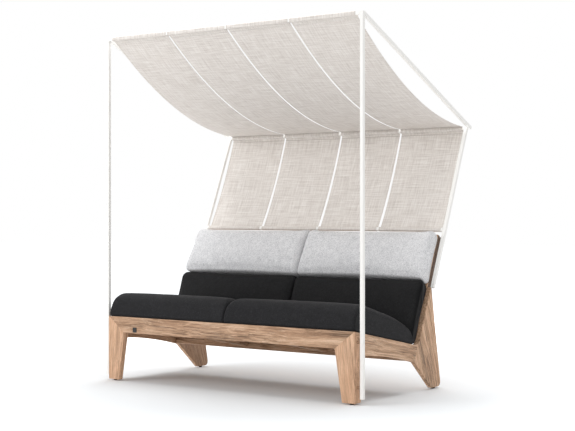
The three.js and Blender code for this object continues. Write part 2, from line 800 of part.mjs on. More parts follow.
function cushionGeometry({ sectionShares, length, depth, thick, crown, round, corner, tuck }) {
  const halfLength = length / 2;
  const section = new THREE.CatmullRomCurve3(
    sectionShares.map(([y, z]) => new THREE.Vector3(0, y * depth, z * thick)),
    true,
    'centripetal',
  ).getSpacedPoints(ringPoints).slice(0, ringPoints);
  section.forEach((point) => point.setZ(Math.max(point.z, 0)));

  // One ring of points at x, shrunk towards the middle of the section near the ends
  function ring(x) {
    const alongShare = x / halfLength;
    const fromEnd = halfLength - Math.abs(x);
    const insetZ = roundedOff(round, round - fromEnd);
    const insetY = roundedOff(corner, corner - fromEnd);
    const leanShare = THREE.MathUtils.clamp(1 - (halfLength - x) / corner, 0, 1);
    return section.map((point) => {
      const yShare = THREE.MathUtils.clamp((2 * point.y) / depth - 1, -1, 1);
      const zShare = THREE.MathUtils.clamp(point.z / thick, 0, 1);
      const flat = zShare < 1 / 2 ? flatSideShare : 1;
      const z = thick / 2 + (point.z - thick / 2) * (1 - (2 * insetZ * flat) / thick);
      const y = depth / 2 + (point.y - depth / 2) * (1 - (2 * insetY) / depth);
      const swell = (1 - yShare ** 2) ** 2 * (1 - alongShare ** 2) * zShare;
      const draw = cushionDraw * (1 - alongShare ** 2) * yShare ** 3;
      const pull = cushionDraw * alongShare ** 3 * (1 - yShare ** 2);
      const back = tuck * leanShare * (1 - zShare);
      return [x - pull - back, y - draw, z + crown * swell];
    });
  }

  const rings = [];
  const roundEnd = (side) => {
    const stations = [];
    for (let k = 0; k < roundStations; k++) {
      const turn = (k / roundStations) * Math.PI / 2;
      stations.push(ring(side * (halfLength - corner * (1 - Math.cos(turn)))));
    }
    return stations;
  };
  rings.push(...roundEnd(-1));
  const straight = halfLength - corner;
  for (let k = 0; k < middleStations; k++) {
    rings.push(ring(THREE.MathUtils.lerp(-straight, straight, k / (middleStations - 1))));
  }
  rings.push(...roundEnd(1).reverse());

  const places = rings.flat(2);
  const triangles = [];
  const last = rings.length - 1;
  const place = (k, i) => k * ringPoints + (i % ringPoints);
  for (let k = 0; k < last; k++) {
    for (let i = 0; i < ringPoints; i++) {
      triangles.push(place(k, i), place(k, i + 1), place(k + 1, i + 1));
      triangles.push(place(k, i), place(k + 1, i + 1), place(k + 1, i));
    }
  }
  // The two end faces, flat and fanned from the middle of their ring
  [[0, 1], [last, -1]].forEach(([k, sense]) => {
    const points = rings[k];
    const hub = places.length / 3;
    [0, 1, 2].forEach((axis) => {
      places.push(points.reduce((sum, point) => sum + point[axis], 0) / ringPoints);
    });
    for (let i = 0; i < ringPoints; i++) {
      const pair = [place(k, i), place(k, i + 1)];
      triangles.push(hub, ...(sense > 0 ? pair.reverse() : pair));
    }
  });
  const geometry = new THREE.BufferGeometry();
  geometry.setAttribute('position', new THREE.Float32BufferAttribute(places, 3));
  geometry.setIndex(triangles);
  geometry.computeVertexNormals();
  return geometry;
}

// Depth of the foot of the back cushion in front of the line of the back, on the seat
const backFootShare = 0.45;

function buildCushions() {
  const pair = (parent, name, end, shape, look, placeOf) => {
    const length = end - cushionPairGap / 2;
    const x = cushionPairGap / 2 + length / 2;
    const right = cushionGeometry({ length, ...shape });
    const bodies = { left: mirrored(right), right };
    sides.forEach(([side, sign]) => {
      const mesh = add(parent, `${name}_${side}`, bodies[side], look());
      placeOf(mesh, sign * x);
    });
  };

  const foot = backFootShare * backCushionThick - panelSetback;
  const seatReach = seatDepth - foot - seatRearGap;
  pair(deck, 'seat_cushion', halfWidth - seatCushionEnd, {
    sectionShares: seatSectionShares,
    depth: seatReach + seatCushionOverhang,
    thick: seatCushionThick,
    crown: seatCushionCrown,
    round: seatCushionRound,
    corner: seatCushionCorner,
    tuck: 0,
  }, charcoalCloth, (mesh, x) => {
    mesh.position.set(x, -seatCushionOverhang, cushionRestGap);
  });

  // The back cushions and headrests lean on the planks, so their sections are turned up
  const leanOnPlanks = (up) => (mesh, x) => {
    mesh.position.set(x, panelSetback - cushionRestGap, up);
    mesh.rotation.x = Math.PI / 2;
  };
  pair(back, 'back_cushion', halfWidth + backCushionPast, {
    sectionShares: backSectionShares,
    depth: backCushionHeight,
    thick: backCushionThick,
    crown: backCushionCrown,
    round: backCushionRound,
    corner: backCushionCorner,
    tuck: backCushionTuck,
  }, darkCloth, leanOnPlanks(cushionRestGap));
  pair(back, 'headrest', halfWidth - headrestEnd, {
    sectionShares: headrestSectionShares,
    depth: headrestHeight,
    thick: headrestThick,
    crown: headrestCrown,
    round: headrestRound,
    corner: headrestCorner,
    tuck: headrestTuck,
  }, greyCloth, leanOnPlanks(backCushionHeight + 2 * cushionRestGap));
}

buildCushions();

// The origin lies under the middle of the whole object, on the floor
daybed.updateMatrixWorld(true);
const extent = new THREE.Box3().setFromObject(daybed, true);
daybed.position.y = -(extent.min.y + extent.max.y) / 2;
daybed.updateMatrixWorld(true);

export default daybed;
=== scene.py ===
"""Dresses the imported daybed: teak boards, white tube, linen canopy strips, stuffed cushions.

Metres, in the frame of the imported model: X to the right, Y to the back, Z up from the floor.
"""

import json
import math

import bmesh
import bpy
import numpy as np
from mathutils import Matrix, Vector


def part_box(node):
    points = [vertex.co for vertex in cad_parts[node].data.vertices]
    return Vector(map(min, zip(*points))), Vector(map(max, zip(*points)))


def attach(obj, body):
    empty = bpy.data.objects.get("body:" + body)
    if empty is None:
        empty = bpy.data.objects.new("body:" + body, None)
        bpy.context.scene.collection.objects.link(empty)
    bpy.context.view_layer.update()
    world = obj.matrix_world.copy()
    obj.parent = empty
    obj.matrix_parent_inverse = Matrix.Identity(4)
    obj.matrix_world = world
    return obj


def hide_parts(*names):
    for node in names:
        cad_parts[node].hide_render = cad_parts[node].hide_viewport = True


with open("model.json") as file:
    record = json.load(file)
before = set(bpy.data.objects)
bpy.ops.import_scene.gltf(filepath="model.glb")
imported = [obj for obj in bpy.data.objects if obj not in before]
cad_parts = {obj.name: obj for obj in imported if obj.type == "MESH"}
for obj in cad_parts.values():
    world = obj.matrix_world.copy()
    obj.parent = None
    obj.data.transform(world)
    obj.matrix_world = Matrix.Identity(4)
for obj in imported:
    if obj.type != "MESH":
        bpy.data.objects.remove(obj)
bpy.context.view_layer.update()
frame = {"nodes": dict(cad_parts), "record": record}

MM = 0.001
POST_FROM_FRONT = 30 * MM
post_low, post_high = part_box("canopy_post_right")
POST_Y = (post_low[1] + post_high[1]) / 2
SHIFT_Y = POST_Y - POST_FROM_FRONT


# ---------------------------------------------------------------- node helpers

def set_sockets(node, values):
    for label, value in values.items():
        node.inputs[label].default_value = value


class Net:
    """Short forms for building a node tree."""

    def __init__(self, tree):
        self.tree = tree

    def node(self, kind, **values):
        made = self.tree.nodes.new(kind)
        for key, value in values.items():
            setattr(made, key, value)
        return made

    def join(self, a, b):
        self.tree.links.new(a, b)

    def put(self, socket, value):
        if isinstance(value, bpy.types.NodeSocket):
            self.join(value, socket)
        else:
            socket.default_value = value

    def place(self):
        """The object's own coordinates."""
        return self.node("ShaderNodeTexCoord").outputs["Object"]

    def uv(self, label):
        return self.node("ShaderNodeUVMap", uv_map=label).outputs[0]

    def parts(self, vector):
        made = self.node("ShaderNodeSeparateXYZ")
        self.join(vector, made.inputs[0])
        return [made.outputs[axis] for axis in "XYZ"]

    def measure(self, operation, vector, other=None):
        """The number that a vector operation gives, such as a length or a dot product."""
        made = self.node("ShaderNodeVectorMath", operation=operation)
        self.join(vector, made.inputs[0])
        if other is not None:
            made.inputs[1].default_value = other
        return made.outputs["Value"]

    def math(self, operation, *values):
        made = self.node("ShaderNodeMath", operation=operation)
        for socket, value in zip(made.inputs, values):
            self.put(socket, value)
        return made.outputs[0]

    def mapped(self, vector, **values):
        made = self.node("ShaderNodeMapping", vector_type="POINT")
        self.join(vector, made.inputs["Vector"])
        set_sockets(made, values)
        return made.outputs[0]

    def scaled(self, vector, scale, shift=(0, 0, 0)):
        return self.mapped(vector, Scale=scale, Location=shift)

    def noise(self, vector, scale, detail=2.0, rough=0.5):
        made = self.node("ShaderNodeTexNoise")
        self.join(vector, made.inputs["Vector"])
        set_sockets(made, {"Scale": scale, "Detail": detail, "Roughness": rough})
        return made.outputs["Fac"]

    def span(self, value, low, high, to_low=0.0, to_high=1.0, kind="LINEAR"):
        made = self.node("ShaderNodeMapRange", clamp=True, interpolation_type=kind)
        self.join(value, made.inputs["Value"])
        set_sockets(made, {"From Min": low, "From Max": high, "To Min": to_low,
                           "To Max": to_high})
        return made.outputs["Result"]

    def ramp(self, value, stops):
        made = self.node("ShaderNodeValToRGB")
        elements = made.color_ramp.elements
        while len(elements) < len(stops):
            elements.new(0.5)
        for element, (place, colour) in zip(elements, stops):
            element.position = place
            element.color = (*colour, 1.0)
        self.join(value, made.inputs["Fac"])
        return made.outputs["Color"]

    def mix(self, factor, a, b, blend="MIX"):
        made = self.node("ShaderNodeMix", data_type="RGBA", blend_type=blend)
        self.put(made.inputs["Factor"], factor)
        for socket, value in ((made.inputs[6], a), (made.inputs[7], b)):
            if isinstance(value, tuple):
                value = (*value, 1.0)
            self.put(socket, value)
        return made.outputs[2]

    def bump(self, height, strength, distance, normal=None):
        made = self.node("ShaderNodeBump")
        set_sockets(made, {"Strength": strength, "Distance": distance})
        self.join(height, made.inputs["Height"])
        if normal is not None:
            self.join(normal, made.inputs["Normal"])
        return made.outputs["Normal"]

    def split(self, output, plain, seen):
        """Ends the tree: the camera sees one shader directly, all other rays meet the plain one."""
        mix = self.node("ShaderNodeMixShader")
        self.join(self.node("ShaderNodeLightPath").outputs["Is Camera Ray"], mix.inputs["Fac"])
        self.join(plain.outputs[0], mix.inputs[1])
        self.join(seen.outputs[0], mix.inputs[2])
        self.join(mix.outputs[0], self.node(output).inputs["Surface"])


def new_group(name, inputs, outputs):
    tree = bpy.data.node_groups.new(name, "ShaderNodeTree")
    for label, kind, default in inputs:
        socket = tree.interface.new_socket(label, in_out="INPUT", socket_type=kind)
        if default is not None:
            socket.default_value = default
    for label, kind in outputs:
        tree.interface.new_socket(label, in_out="OUTPUT", socket_type=kind)
    net = Net(tree)
    return net, net.node("NodeGroupInput"), net.node("NodeGroupOutput")


def srgb(r, g, b):
    """Linear colour of an sRGB one given in 0 to 255."""
    values = []
    for v in (r, g, b):
        v /= 255.0
        values.append(v / 12.92 if v <= 0.04045 else ((v + 0.055) / 1.055) ** 2.4)
    return tuple(values)


def new_material(name):
    look = bpy.data.materials.new(name)
    look.use_nodes = True
    net = Net(look.node_tree)
    shader = look.node_tree.nodes["Principled BSDF"]
    return look, net, shader


# ---------------------------------------------------------------- camera, lights, floor

def look_from_photo():
    camera = bpy.data.cameras.new("camera")
    camera.sensor_width = 36.0
    camera.lens = 82.13
    camera.clip_end = 60.0
    holder = bpy.data.objects.new("camera", camera)
    holder.location = (4.7751, -5.8282 + SHIFT_Y, 1.0282)
    holder.rotation_euler = (math.radians(89.876), 0.0, math.radians(36.511))
    bpy.context.scene.collection.objects.link(holder)
    bpy.context.scene.camera = holder


look_from_photo()


def area_light(name, place, target, size, power):
    light = bpy.data.lights.new(name, "AREA")
    light.shape = "RECTANGLE"
    light.size, light.size_y = size
    light.energy = power
    holder = bpy.data.objects.new(name, light)
    holder.location = place
    way = Vector(target) - Vector(place)
    holder.rotation_euler = way.to_track_quat("-Z", "Y").to_euler()
    bpy.context.scene.collection.objects.link(holder)


WORLD_LIGHT, WORLD_SEEN = 0.62, 1.0


def studio():
    scene = bpy.context.scene
    scene.view_settings.view_transform = "Standard"
    scene.world = bpy.data.worlds.new("studio")
    scene.world.use_nodes = True
    net = Net(scene.world.node_tree)
    net.tree.nodes.clear()
    soft, seen = net.node("ShaderNodeBackground"), net.node("ShaderNodeBackground")
    for node, strength in ((soft, WORLD_LIGHT), (seen, WORLD_SEEN)):
        set_sockets(node, {"Color": (1.0, 1.0, 1.0, 1.0), "Strength": strength})
    net.split("ShaderNodeOutputWorld", soft, seen)
    area_light("overhead", (-0.4, 1.05, 4.8), (0.0, 0.0, 0.0), (4.6, 4.6), 300)
    area_light("front_left", (-3.6, -5.2, 3.4), (0.0, 0.0, 0.6), (3.6, 3.0), 130)
    area_light("front_right", (4.6, -5.0, 2.4), (0.0, 0.0, 0.9), (3.6, 3.0), 30)


studio()


FLOOR_HALF = 30.0
FLOOR_NEAR, FLOOR_FAR = 0.84, 1.8
UNDER_REAR = (-0.4, 0.9, 0.0)


def make_floor():
    mesh = bpy.data.meshes.new("floor")
    corners = [(x * FLOOR_HALF, y * FLOOR_HALF, 0) for x, y in ((-1, -1), (1, -1), (1, 1), (-1, 1))]
    mesh.from_pydata(corners, [], [(0, 1, 2, 3)])
    floor = bpy.data.objects.new("floor", mesh)
    bpy.context.scene.collection.objects.link(floor)
    # pale enough to run into the white backdrop where no shadow lies on it: seen directly it
    # grows paler away from the daybed, where the lamps reach it less
    look = bpy.data.materials.new("floor")
    look.use_nodes = True
    net = Net(look.node_tree)
    net.tree.nodes.clear()
    plain = net.node("ShaderNodeBsdfDiffuse")
    plain.inputs["Color"].default_value = (0.85, 0.85, 0.85, 1.0)
    place = net.place()
    level = net.span(net.measure("LENGTH", place), 1.2, 4.3, FLOOR_NEAR, FLOOR_FAR, "SMOOTHSTEP")
    # and painted shade: a little darker under the rear of the seat, where the lamp shines in behind the
    # back
    shade = net.span(net.measure("DISTANCE", place, UNDER_REAR), 0.3, 1.7, 0.82, 1.0,
                     "SMOOTHSTEP")
    # a trace of blue takes out the warm cast of the boards in the shadow
    tint = net.node("ShaderNodeVectorMath", operation="SCALE")
    tint.inputs[0].default_value = (0.975, 1.0, 1.02)
    net.join(net.math("MULTIPLY", level, shade), tint.inputs["Scale"])
    seen = net.node("ShaderNodeBsdfDiffuse")
    net.join(tint.outputs["Vector"], seen.inputs["Color"])
    net.split("ShaderNodeOutputMaterial", plain, seen)
    mesh.materials.append(look)


make_floor()


# ---------------------------------------------------------------- places, as in the solids

SEAT_SLOPE = math.radians(11.0)
BACK_LEAN = math.radians(22.8)
SEAT_FRONT = 394 * MM
SEAT_DEPTH = 676 * MM
HALF_WIDTH = 905 * MM


def seat_place(along, above):
    """(y, z) of a place given along the seat from its front edge and above it."""
    return (along * math.cos(SEAT_SLOPE) + above * math.sin(SEAT_SLOPE) + SHIFT_Y,
            SEAT_FRONT - along * math.sin(SEAT_SLOPE) + above * math.cos(SEAT_SLOPE))


CORNER = seat_place(SEAT_DEPTH, 0.0)


def back_place(up, out):
    """(y, z) of a place given up the line of the back and out in front of it."""
    return (CORNER[0] + up * math.sin(BACK_LEAN) - out * math.cos(BACK_LEAN),
            CORNER[1] + up * math.cos(BACK_LEAN) + out * math.sin(BACK_LEAN))


# Ways out of the seat and out of the rear of the back, and how far along them each plane lies
SEAT_UP = (0.0, math.sin(SEAT_SLOPE), math.cos(SEAT_SLOPE))
SEAT_PLANE = SHIFT_Y * SEAT_UP[1] + SEAT_FRONT * SEAT_UP[2]
BACK_WAY = (0.0, math.cos(BACK_LEAN), -math.sin(BACK_LEAN))
BACK_PLANE = CORNER[0] * BACK_WAY[1] + CORNER[1] * BACK_WAY[2]


# ---------------------------------------------------------------- wood

def wood_group():
    """Long irregular grain along the group's X: broad figure, fine fibres and short pores."""
    net, given, out = new_group(
        "wood_grain",
        [("Vector", "NodeSocketVector", None)],
        [("Color", "NodeSocketColor"), ("Roughness", "NodeSocketFloat"),
         ("Height", "NodeSocketFloat")],
    )
    place = given.outputs["Vector"]
    warp = net.noise(net.scaled(place, (1.1, 3.0, 3.0)), 2.0, 2.0)
    bent = net.node("ShaderNodeVectorMath", operation="MULTIPLY_ADD")
    push = net.node("ShaderNodeCombineXYZ")
    net.join(warp, push.inputs["Y"])
    net.join(warp, push.inputs["Z"])
    net.join(push.outputs[0], bent.inputs[0])
    bent.inputs[1].default_value = (0.0, 0.055, 0.055)
    net.join(place, bent.inputs[2])
    flow = bent.outputs[0]
    figure = net.noise(net.scaled(flow, (1.5, 24.0, 24.0)), 1.0, 4.0, 0.6)
    bands = net.noise(net.scaled(flow, (3.4, 105.0, 105.0), (3.1, 0.4, 7.7)), 1.0, 5.0, 0.72)
    fibres = net.noise(net.scaled(flow, (14.0, 620.0, 620.0)), 1.0, 2.0, 0.6)
    pores = net.noise(net.scaled(flow, (38.0, 900.0, 900.0), (1.7, 5.2, 0.3)), 1.0, 1.0, 0.5)
    pore_mask = net.span(pores, 0.60, 0.70)
    tone = net.math("MULTIPLY_ADD", figure, 0.36, net.math("MULTIPLY", bands, 0.64))
    colour = net.ramp(tone, [
        (0.375, srgb(114, 89, 68)),
        (0.455, srgb(175, 141, 112)),
        (0.53, srgb(209, 172, 141)),
        (0.605, srgb(237, 204, 174)),
    ])
    # dark streaks come in clusters, pale ones everywhere
    threads = net.noise(net.scaled(flow, (5.5, 230.0, 230.0), (6.3, 2.2, 0.9)), 1.0, 3.0, 0.7)
    cluster = net.noise(net.scaled(place, (1.9, 11.0, 11.0), (2.0, 8.0, 5.0)), 1.0, 2.0)
    streak = net.math("MULTIPLY", net.span(threads, 0.515, 0.60), net.span(cluster, 0.42, 0.60))
    colour = net.mix(net.math("MULTIPLY", streak, 0.84), colour, srgb(93, 77, 62))
    pale = net.math("MULTIPLY", net.span(threads, 0.38, 0.47, 1.0, 0.0), 0.45)
    colour = net.mix(pale, colour, srgb(240, 214, 188))
    colour = net.mix(net.math("MULTIPLY", net.span(fibres, 0.35, 0.75), 0.22), colour,
                     srgb(160, 120, 92))
    colour = net.mix(net.math("MULTIPLY", pore_mask, 0.45), colour, srgb(100, 74, 56))
    blotch = net.noise(net.scaled(place, (2.0, 3.2, 3.2), (9.0, 2.0, 4.0)), 1.6, 2.0)
    colour = net.mix(net.span(blotch, 0.3, 0.72, 0.0, 0.28), colour,
                     net.mix(1.0, colour, srgb(232, 206, 186), "MULTIPLY"))
    rough = net.math("MULTIPLY_ADD", fibres, 0.22, 0.44)
    height = net.math("SUBTRACT", net.math("MULTIPLY", fibres, 0.5), pore_mask)
    net.join(colour, out.inputs["Color"])
    net.join(rough, out.inputs["Roughness"])
    net.join(height, out.inputs["Height"])
    return net.tree


WOOD = wood_group()


REAR_LEGS = (-0.25, -0.2)     # Y over which the front legs' look gives way to the rear ones'


def leg_grain(net, coords):
    """Moves each place so that upright grain follows the legs: the front ones narrow to the
    foot on their inner side, the rear ones rake back to the floor."""
    x, y, z = net.parts(coords)
    rear = net.span(y, *REAR_LEGS)
    moved = net.node("ShaderNodeCombineXYZ")
    in_front = net.math("MULTIPLY", net.math("SUBTRACT", 1.0, rear), 0.11)
    net.join(net.math("MULTIPLY_ADD", z, in_front, net.math("ABSOLUTE", x)), moved.inputs["X"])
    net.join(net.math("MULTIPLY_ADD", z, net.math("MULTIPLY", rear, 0.36), y), moved.inputs["Y"])
    # the left and right legs are cut from other boards
    net.join(net.math("MULTIPLY_ADD", net.math("SIGN", x), 1.3, z), moved.inputs["Z"])
    return moved.outputs[0]


def leg_tone_and_shade(net, place, colour):
    """The front legs are paler; the rear ones carry painted shade on their inner faces."""
    x, y, _ = net.parts(place)
    rear = net.span(y, *REAR_LEGS)
    paler = net.math("MULTIPLY", net.math("SUBTRACT", 1.0, rear), 0.30)
    colour = net.mix(paler, colour, srgb(241, 193, 157))
    # painted shade: the rear legs are darkened inward of their outer faces, where the seat shades them
    inside = net.span(net.math("ABSOLUTE", x), 0.8775, 0.8785, 0.45, 0.0)
    return net.mix(net.math("MULTIPLY", rear, inside), colour, srgb(104, 78, 58))


def wood(name, grain, shift, darker=0.0, legs=False, painted_end_shade=False):
    """Teak with its grain along a direction given by its angle: "x", or a tilt in the side view."""
    look, net, shader = new_material(name)
    coords = place = net.place()
    if legs:
        coords = leg_grain(net, coords)
    turned = {"Location": shift}
    if grain != "x":
        # turns the grain's direction in the side view onto X
        coords = net.mapped(coords, Rotation=(-grain, 0.0, 0.0))
        turned["Rotation"] = (0.0, 0.0, -math.pi / 2)
    group = net.node("ShaderNodeGroup", node_tree=WOOD)
    net.join(net.mapped(coords, **turned), group.inputs["Vector"])
    colour = group.outputs["Color"]
    if darker:
        colour = net.mix(darker, colour, srgb(104, 76, 56))
    if legs:
        colour = leg_tone_and_shade(net, place, colour)
    if painted_end_shade:
        # painted shade on the outer ends of the back's planks and battens, behind the planks' front
        # edge, in the slot beside the white uprights
        outer = net.span(net.math("ABSOLUTE", net.parts(place)[0]), 0.8755, 0.8763, 0.0, 0.85)
        edge = net.span(net.measure("DOT_PRODUCT", place, BACK_WAY), BACK_PLANE + 0.006,
                        BACK_PLANE + 0.011)
        colour = net.mix(net.math("MULTIPLY", outer, edge), colour, srgb(52, 40, 33))
    net.join(colour, shader.inputs["Base Color"])
    net.join(group.outputs["Roughness"], shader.inputs["Roughness"])
    shader.inputs["Specular IOR Level"].default_value = 0.35
    net.join(net.bump(group.outputs["Height"], 0.35, 0.0006), shader.inputs["Normal"])
    return look


# ---------------------------------------------------------------- white metal, plastic, rubber

def coated(name, colour, rough, peel_scale, peel):
    """Powder coat or moulded plastic: near-even colour with a fine peel and faint handling marks."""
    look, net, shader = new_material(name)
    coords = net.place()
    peel_noise = net.noise(coords, peel_scale, 2.0, 0.5)
    marks = net.noise(net.scaled(coords, (9.0, 9.0, 3.0)), 2.0, 3.0, 0.6)
    tint = net.mix(net.span(marks, 0.45, 0.75, 0.0, 0.5), colour,
                   tuple(v * 0.95 for v in colour))
    net.join(tint, shader.inputs["Base Color"])
    net.join(net.span(marks, 0.3, 0.8, rough - 0.04, rough + 0.08), shader.inputs["Roughness"])
    net.join(net.bump(peel_noise, peel, 0.0002), shader.inputs["Normal"])
    return look


# ---------------------------------------------------------------- cloth

def weave_group():
    """A plain weave with slubs: threads along U and V, both given in metres.

    Height is the woven relief, Slub the light and dark of uneven threads, each from 0 to 1.
    """
    net, given, out = new_group(
        "weave",
        [("U", "NodeSocketFloat", 0.0), ("V", "NodeSocketFloat", 0.0),
         ("Pitch", "NodeSocketFloat", 0.002)],
        [("Height", "NodeSocketFloat"), ("Slub", "NodeSocketFloat")],
    )
    u = net.math("DIVIDE", given.outputs["U"], given.outputs["Pitch"])
    v = net.math("DIVIDE", given.outputs["V"], given.outputs["Pitch"])
    over_u = net.math("SINE", net.math("MULTIPLY", u, math.pi))
    over_v = net.math("SINE", net.math("MULTIPLY", v, math.pi))
    cross = net.math("MULTIPLY", over_u, over_v)
    height = net.math("MULTIPLY_ADD", cross, 0.5, 0.5)
    place = net.node("ShaderNodeCombineXYZ")
    net.join(given.outputs["U"], place.inputs["X"])
    net.join(given.outputs["V"], place.inputs["Y"])
    along_u = net.noise(net.scaled(place.outputs[0], (7.0, 120.0, 1.0)), 1.0, 3.0, 0.65)
    along_v = net.noise(net.scaled(place.outputs[0], (120.0, 7.0, 1.0), (5.0, 3.0, 2.0)),
                        1.0, 3.0, 0.65)
    slub = net.math("MULTIPLY_ADD", along_u, 0.5, net.math("MULTIPLY", along_v, 0.5))
    net.join(height, out.inputs["Height"])
    net.join(slub, out.inputs["Slub"])
    return net.tree


WEAVE = weave_group()
STITCH_ROW = 0.0072
STITCH = 0.0035


def woven(net, u, v, pitch):
    weave = net.node("ShaderNodeGroup", node_tree=WEAVE)
    net.join(u, weave.inputs["U"])
    net.join(v, weave.inputs["V"])
    weave.inputs["Pitch"].default_value = pitch
    return weave


def linen(name):
    """Off-white slub linen for the canopy, woven along its UV map, which is in metres."""
    look, net, shader = new_material(name)
    across, along, _ = net.parts(net.uv("cloth"))
    weave = woven(net, across, along, 0.0016)
    slub = net.span(weave.outputs["Slub"], 0.34, 0.66)
    colour = net.ramp(slub, [
        (0.0, srgb(207, 199, 193)),
        (0.5, srgb(229, 223, 217)),
        (1.0, srgb(248, 244, 240)),
    ])
    shade = net.span(weave.outputs["Height"], 0.0, 1.0, 0.0, 0.12)
    colour = net.mix(shade, colour, srgb(190, 180, 172))
    # a row of stitches runs down each side hem: this map's U is the way in from the side, and
    # its V the way to the nearest pocket seam, which is a sunk line across the strip
    from_side, from_seam, _ = net.parts(net.uv("hem"))
    off_row = net.math("ABSOLUTE", net.math("SUBTRACT", from_side, STITCH_ROW))
    row = net.span(off_row, 0.0004, 0.0008, 1.0, 0.0)
    dash = net.math("SINE", net.math("MULTIPLY", along, 2 * math.pi / STITCH))
    stitches = net.math("MULTIPLY", row, net.span(dash, -0.6, -0.2, 0.35, 1.0))
    stitches = net.math("MAXIMUM", stitches, net.span(from_seam, 0.0006, 0.002, 1.0, 0.0))
    colour = net.mix(net.math("MULTIPLY", stitches, 0.5), colour, srgb(150, 140, 132))
    # the roof's upper side, which the photo doesn't show, is darker so that it reads from above
    # painted shade: the upper side is darkened against the overhead lamp, which lights it far more than
    # the rest
    upper = net.parts(net.uv("upper"))[0]
    colour = net.mix(net.math("MULTIPLY", upper, 0.6), colour, srgb(120, 118, 116))
    net.join(colour, shader.inputs["Base Color"])
    set_sockets(shader, {"Roughness": 0.9, "Specular IOR Level": 0.15, "Sheen Weight": 0.15,
                         "Sheen Roughness": 0.6})
    bump = net.bump(weave.outputs["Slub"], 0.3, 0.0008)
    net.join(net.bump(weave.outputs["Height"], 0.5, 0.0003, bump), shader.inputs["Normal"])
    return look


def upholstery(name, dark, middle, light, fleck_low, fleck_high, sheen=0.25, bump=0.35,
               shade=None):
    """Heathered outdoor weave by the object's own coordinates: threads along X and up the piece.

    The painted shade, if any, is (way, near, far, amount): full where the way along it is near."""
    look, net, shader = new_material(name)
    coords = net.place()
    across = net.noise(net.scaled(coords, (110.0, 420.0, 420.0)), 1.0, 2.0, 0.6)
    upward = net.noise(net.scaled(coords, (420.0, 110.0, 110.0), (4.0, 7.0, 1.0)), 1.0, 2.0, 0.6)
    heather = net.math("MULTIPLY_ADD", across, 0.5, net.math("MULTIPLY", upward, 0.5))
    cloudy = net.noise(coords, 26.0, 3.0, 0.6)
    tone = net.math("MULTIPLY_ADD", net.math("SUBTRACT", cloudy, 0.5), 0.16, heather)
    colour = net.ramp(net.span(tone, fleck_low, fleck_high), [
        (0.0, dark), (0.5, middle), (1.0, light),
    ])
    if shade:
        # painted shade: the cover is darkened toward near black where the way along it is near
        way, near, far, amount = shade
        reached = net.math("ABSOLUTE", net.measure("DOT_PRODUCT", coords, way))
        colour = net.mix(net.span(reached, near, far, amount, 0.0), colour, srgb(9, 9, 10))
    x, y, z = net.parts(coords)
    weave = woven(net, x, net.math("ADD", y, z), 0.0022)
    net.join(colour, shader.inputs["Base Color"])
    set_sockets(shader, {"Roughness": 0.92, "Specular IOR Level": 0.2, "Sheen Weight": sheen,
                         "Sheen Roughness": 0.5})
    rough = net.bump(heather, bump, 0.0009)
    net.join(net.bump(weave.outputs["Height"], 0.4, 0.0003, rough), shader.inputs["Normal"])
    return look


looks = {
    "teak_across": wood("teak_across", "x", (0.3, 0.0, 0.0), 0.12, painted_end_shade=True),
    "teak_upright": wood("teak_upright", math.pi / 2, (0.0, 1.7, 0.2), legs=True),
    "teak_rail": wood("teak_rail", -SEAT_SLOPE, (2.0, 0.6, 0.0), 0.08),
    "teak_slat": wood("teak_slat", "x", (4.0, 0.9, 0.0), 0.15),
    "teak_bearer": wood("teak_bearer", -SEAT_SLOPE, (1.0, 2.6, 0.0), 0.2),
    "teak_batten": wood("teak_batten", math.pi / 2 - BACK_LEAN, (0.7, 3.3, 0.0), 0.15,
                         painted_end_shade=True),
    "black_glide": coated("black_glide", srgb(30, 30, 31), 0.6, 900.0, 0.2),
    "dark_plate": coated("dark_plate", srgb(38, 36, 36), 0.42, 1500.0, 0.15),
    "white_tube": coated("white_tube", srgb(250, 249, 246), 0.38, 1400.0, 0.12),
    "teak_spacer": wood("teak_spacer", math.pi / 2, (0.4, 2.2, 0.0), 0.35),
    "white_cap": coated("white_cap", srgb(240, 240, 236), 0.5, 1800.0, 0.1),
    "canopy_cloth": linen("canopy_cloth"),
    # the seat cover carries a painted shadow line along its lower edge, just over the seat plane
    "seat_cloth": upholstery("seat_cloth", srgb(19, 19, 21), srgb(33, 33, 35),
                             srgb(52, 52, 55), 0.3, 0.72, 0.06,
                             shade=(SEAT_UP, SEAT_PLANE + 0.004, SEAT_PLANE + 0.012, 0.8)),
    # the back cover carries painted shade on its outer end faces
    "back_cloth": upholstery("back_cloth", srgb(17, 17, 18), srgb(30, 30, 31),
                             srgb(46, 46, 48), 0.3, 0.72, 0.03,
                             shade=((1.0, 0.0, 0.0), 0.908, 0.884, 0.75)),
    "headrest_cloth": upholstery("headrest_cloth", srgb(175, 176, 179), srgb(220, 220, 222),
                                 srgb(249, 249, 250), 0.34, 0.66, 0.2, 0.5),
}

node_slot = {s["node"]: s["material_slot"] for s in frame["record"]["subparts"]}
for node_name, node in frame["nodes"].items():
    node.data.materials.clear()
    node.data.materials.append(looks[node_slot[node_name]])


def mesh_object(name, points, faces, smooth=True):
    mesh = bpy.data.meshes.new(name)
    mesh.from_pydata([tuple(map(float, p)) for p in points], [], [tuple(map(int, f)) for f in faces])
    mesh.update()
    if smooth:
        mesh.polygons.foreach_set("use_smooth", [True] * len(mesh.polygons))
    made = bpy.data.objects.new(name, mesh)
    bpy.context.scene.collection.objects.link(made)
    return made


# ---------------------------------------------------------------- canopy strips

CLOTH = 1.4 * MM
TUBE = 10 * MM
ROOF_SAG = 115 * MM
BACK_SAG = 18 * MM


def middle_of(piece):
    """(y, z) of the middle of a solid's box."""
    low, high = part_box(piece)
    return (low[1] + high[1]) / 2, (low[2] + high[2]) / 2


FRONT_RAIL, REAR_RAIL, LOWER_RAIL = map(
    middle_of, ("canopy_front_rail", "canopy_rear_rail", "canopy_lower_rail"))


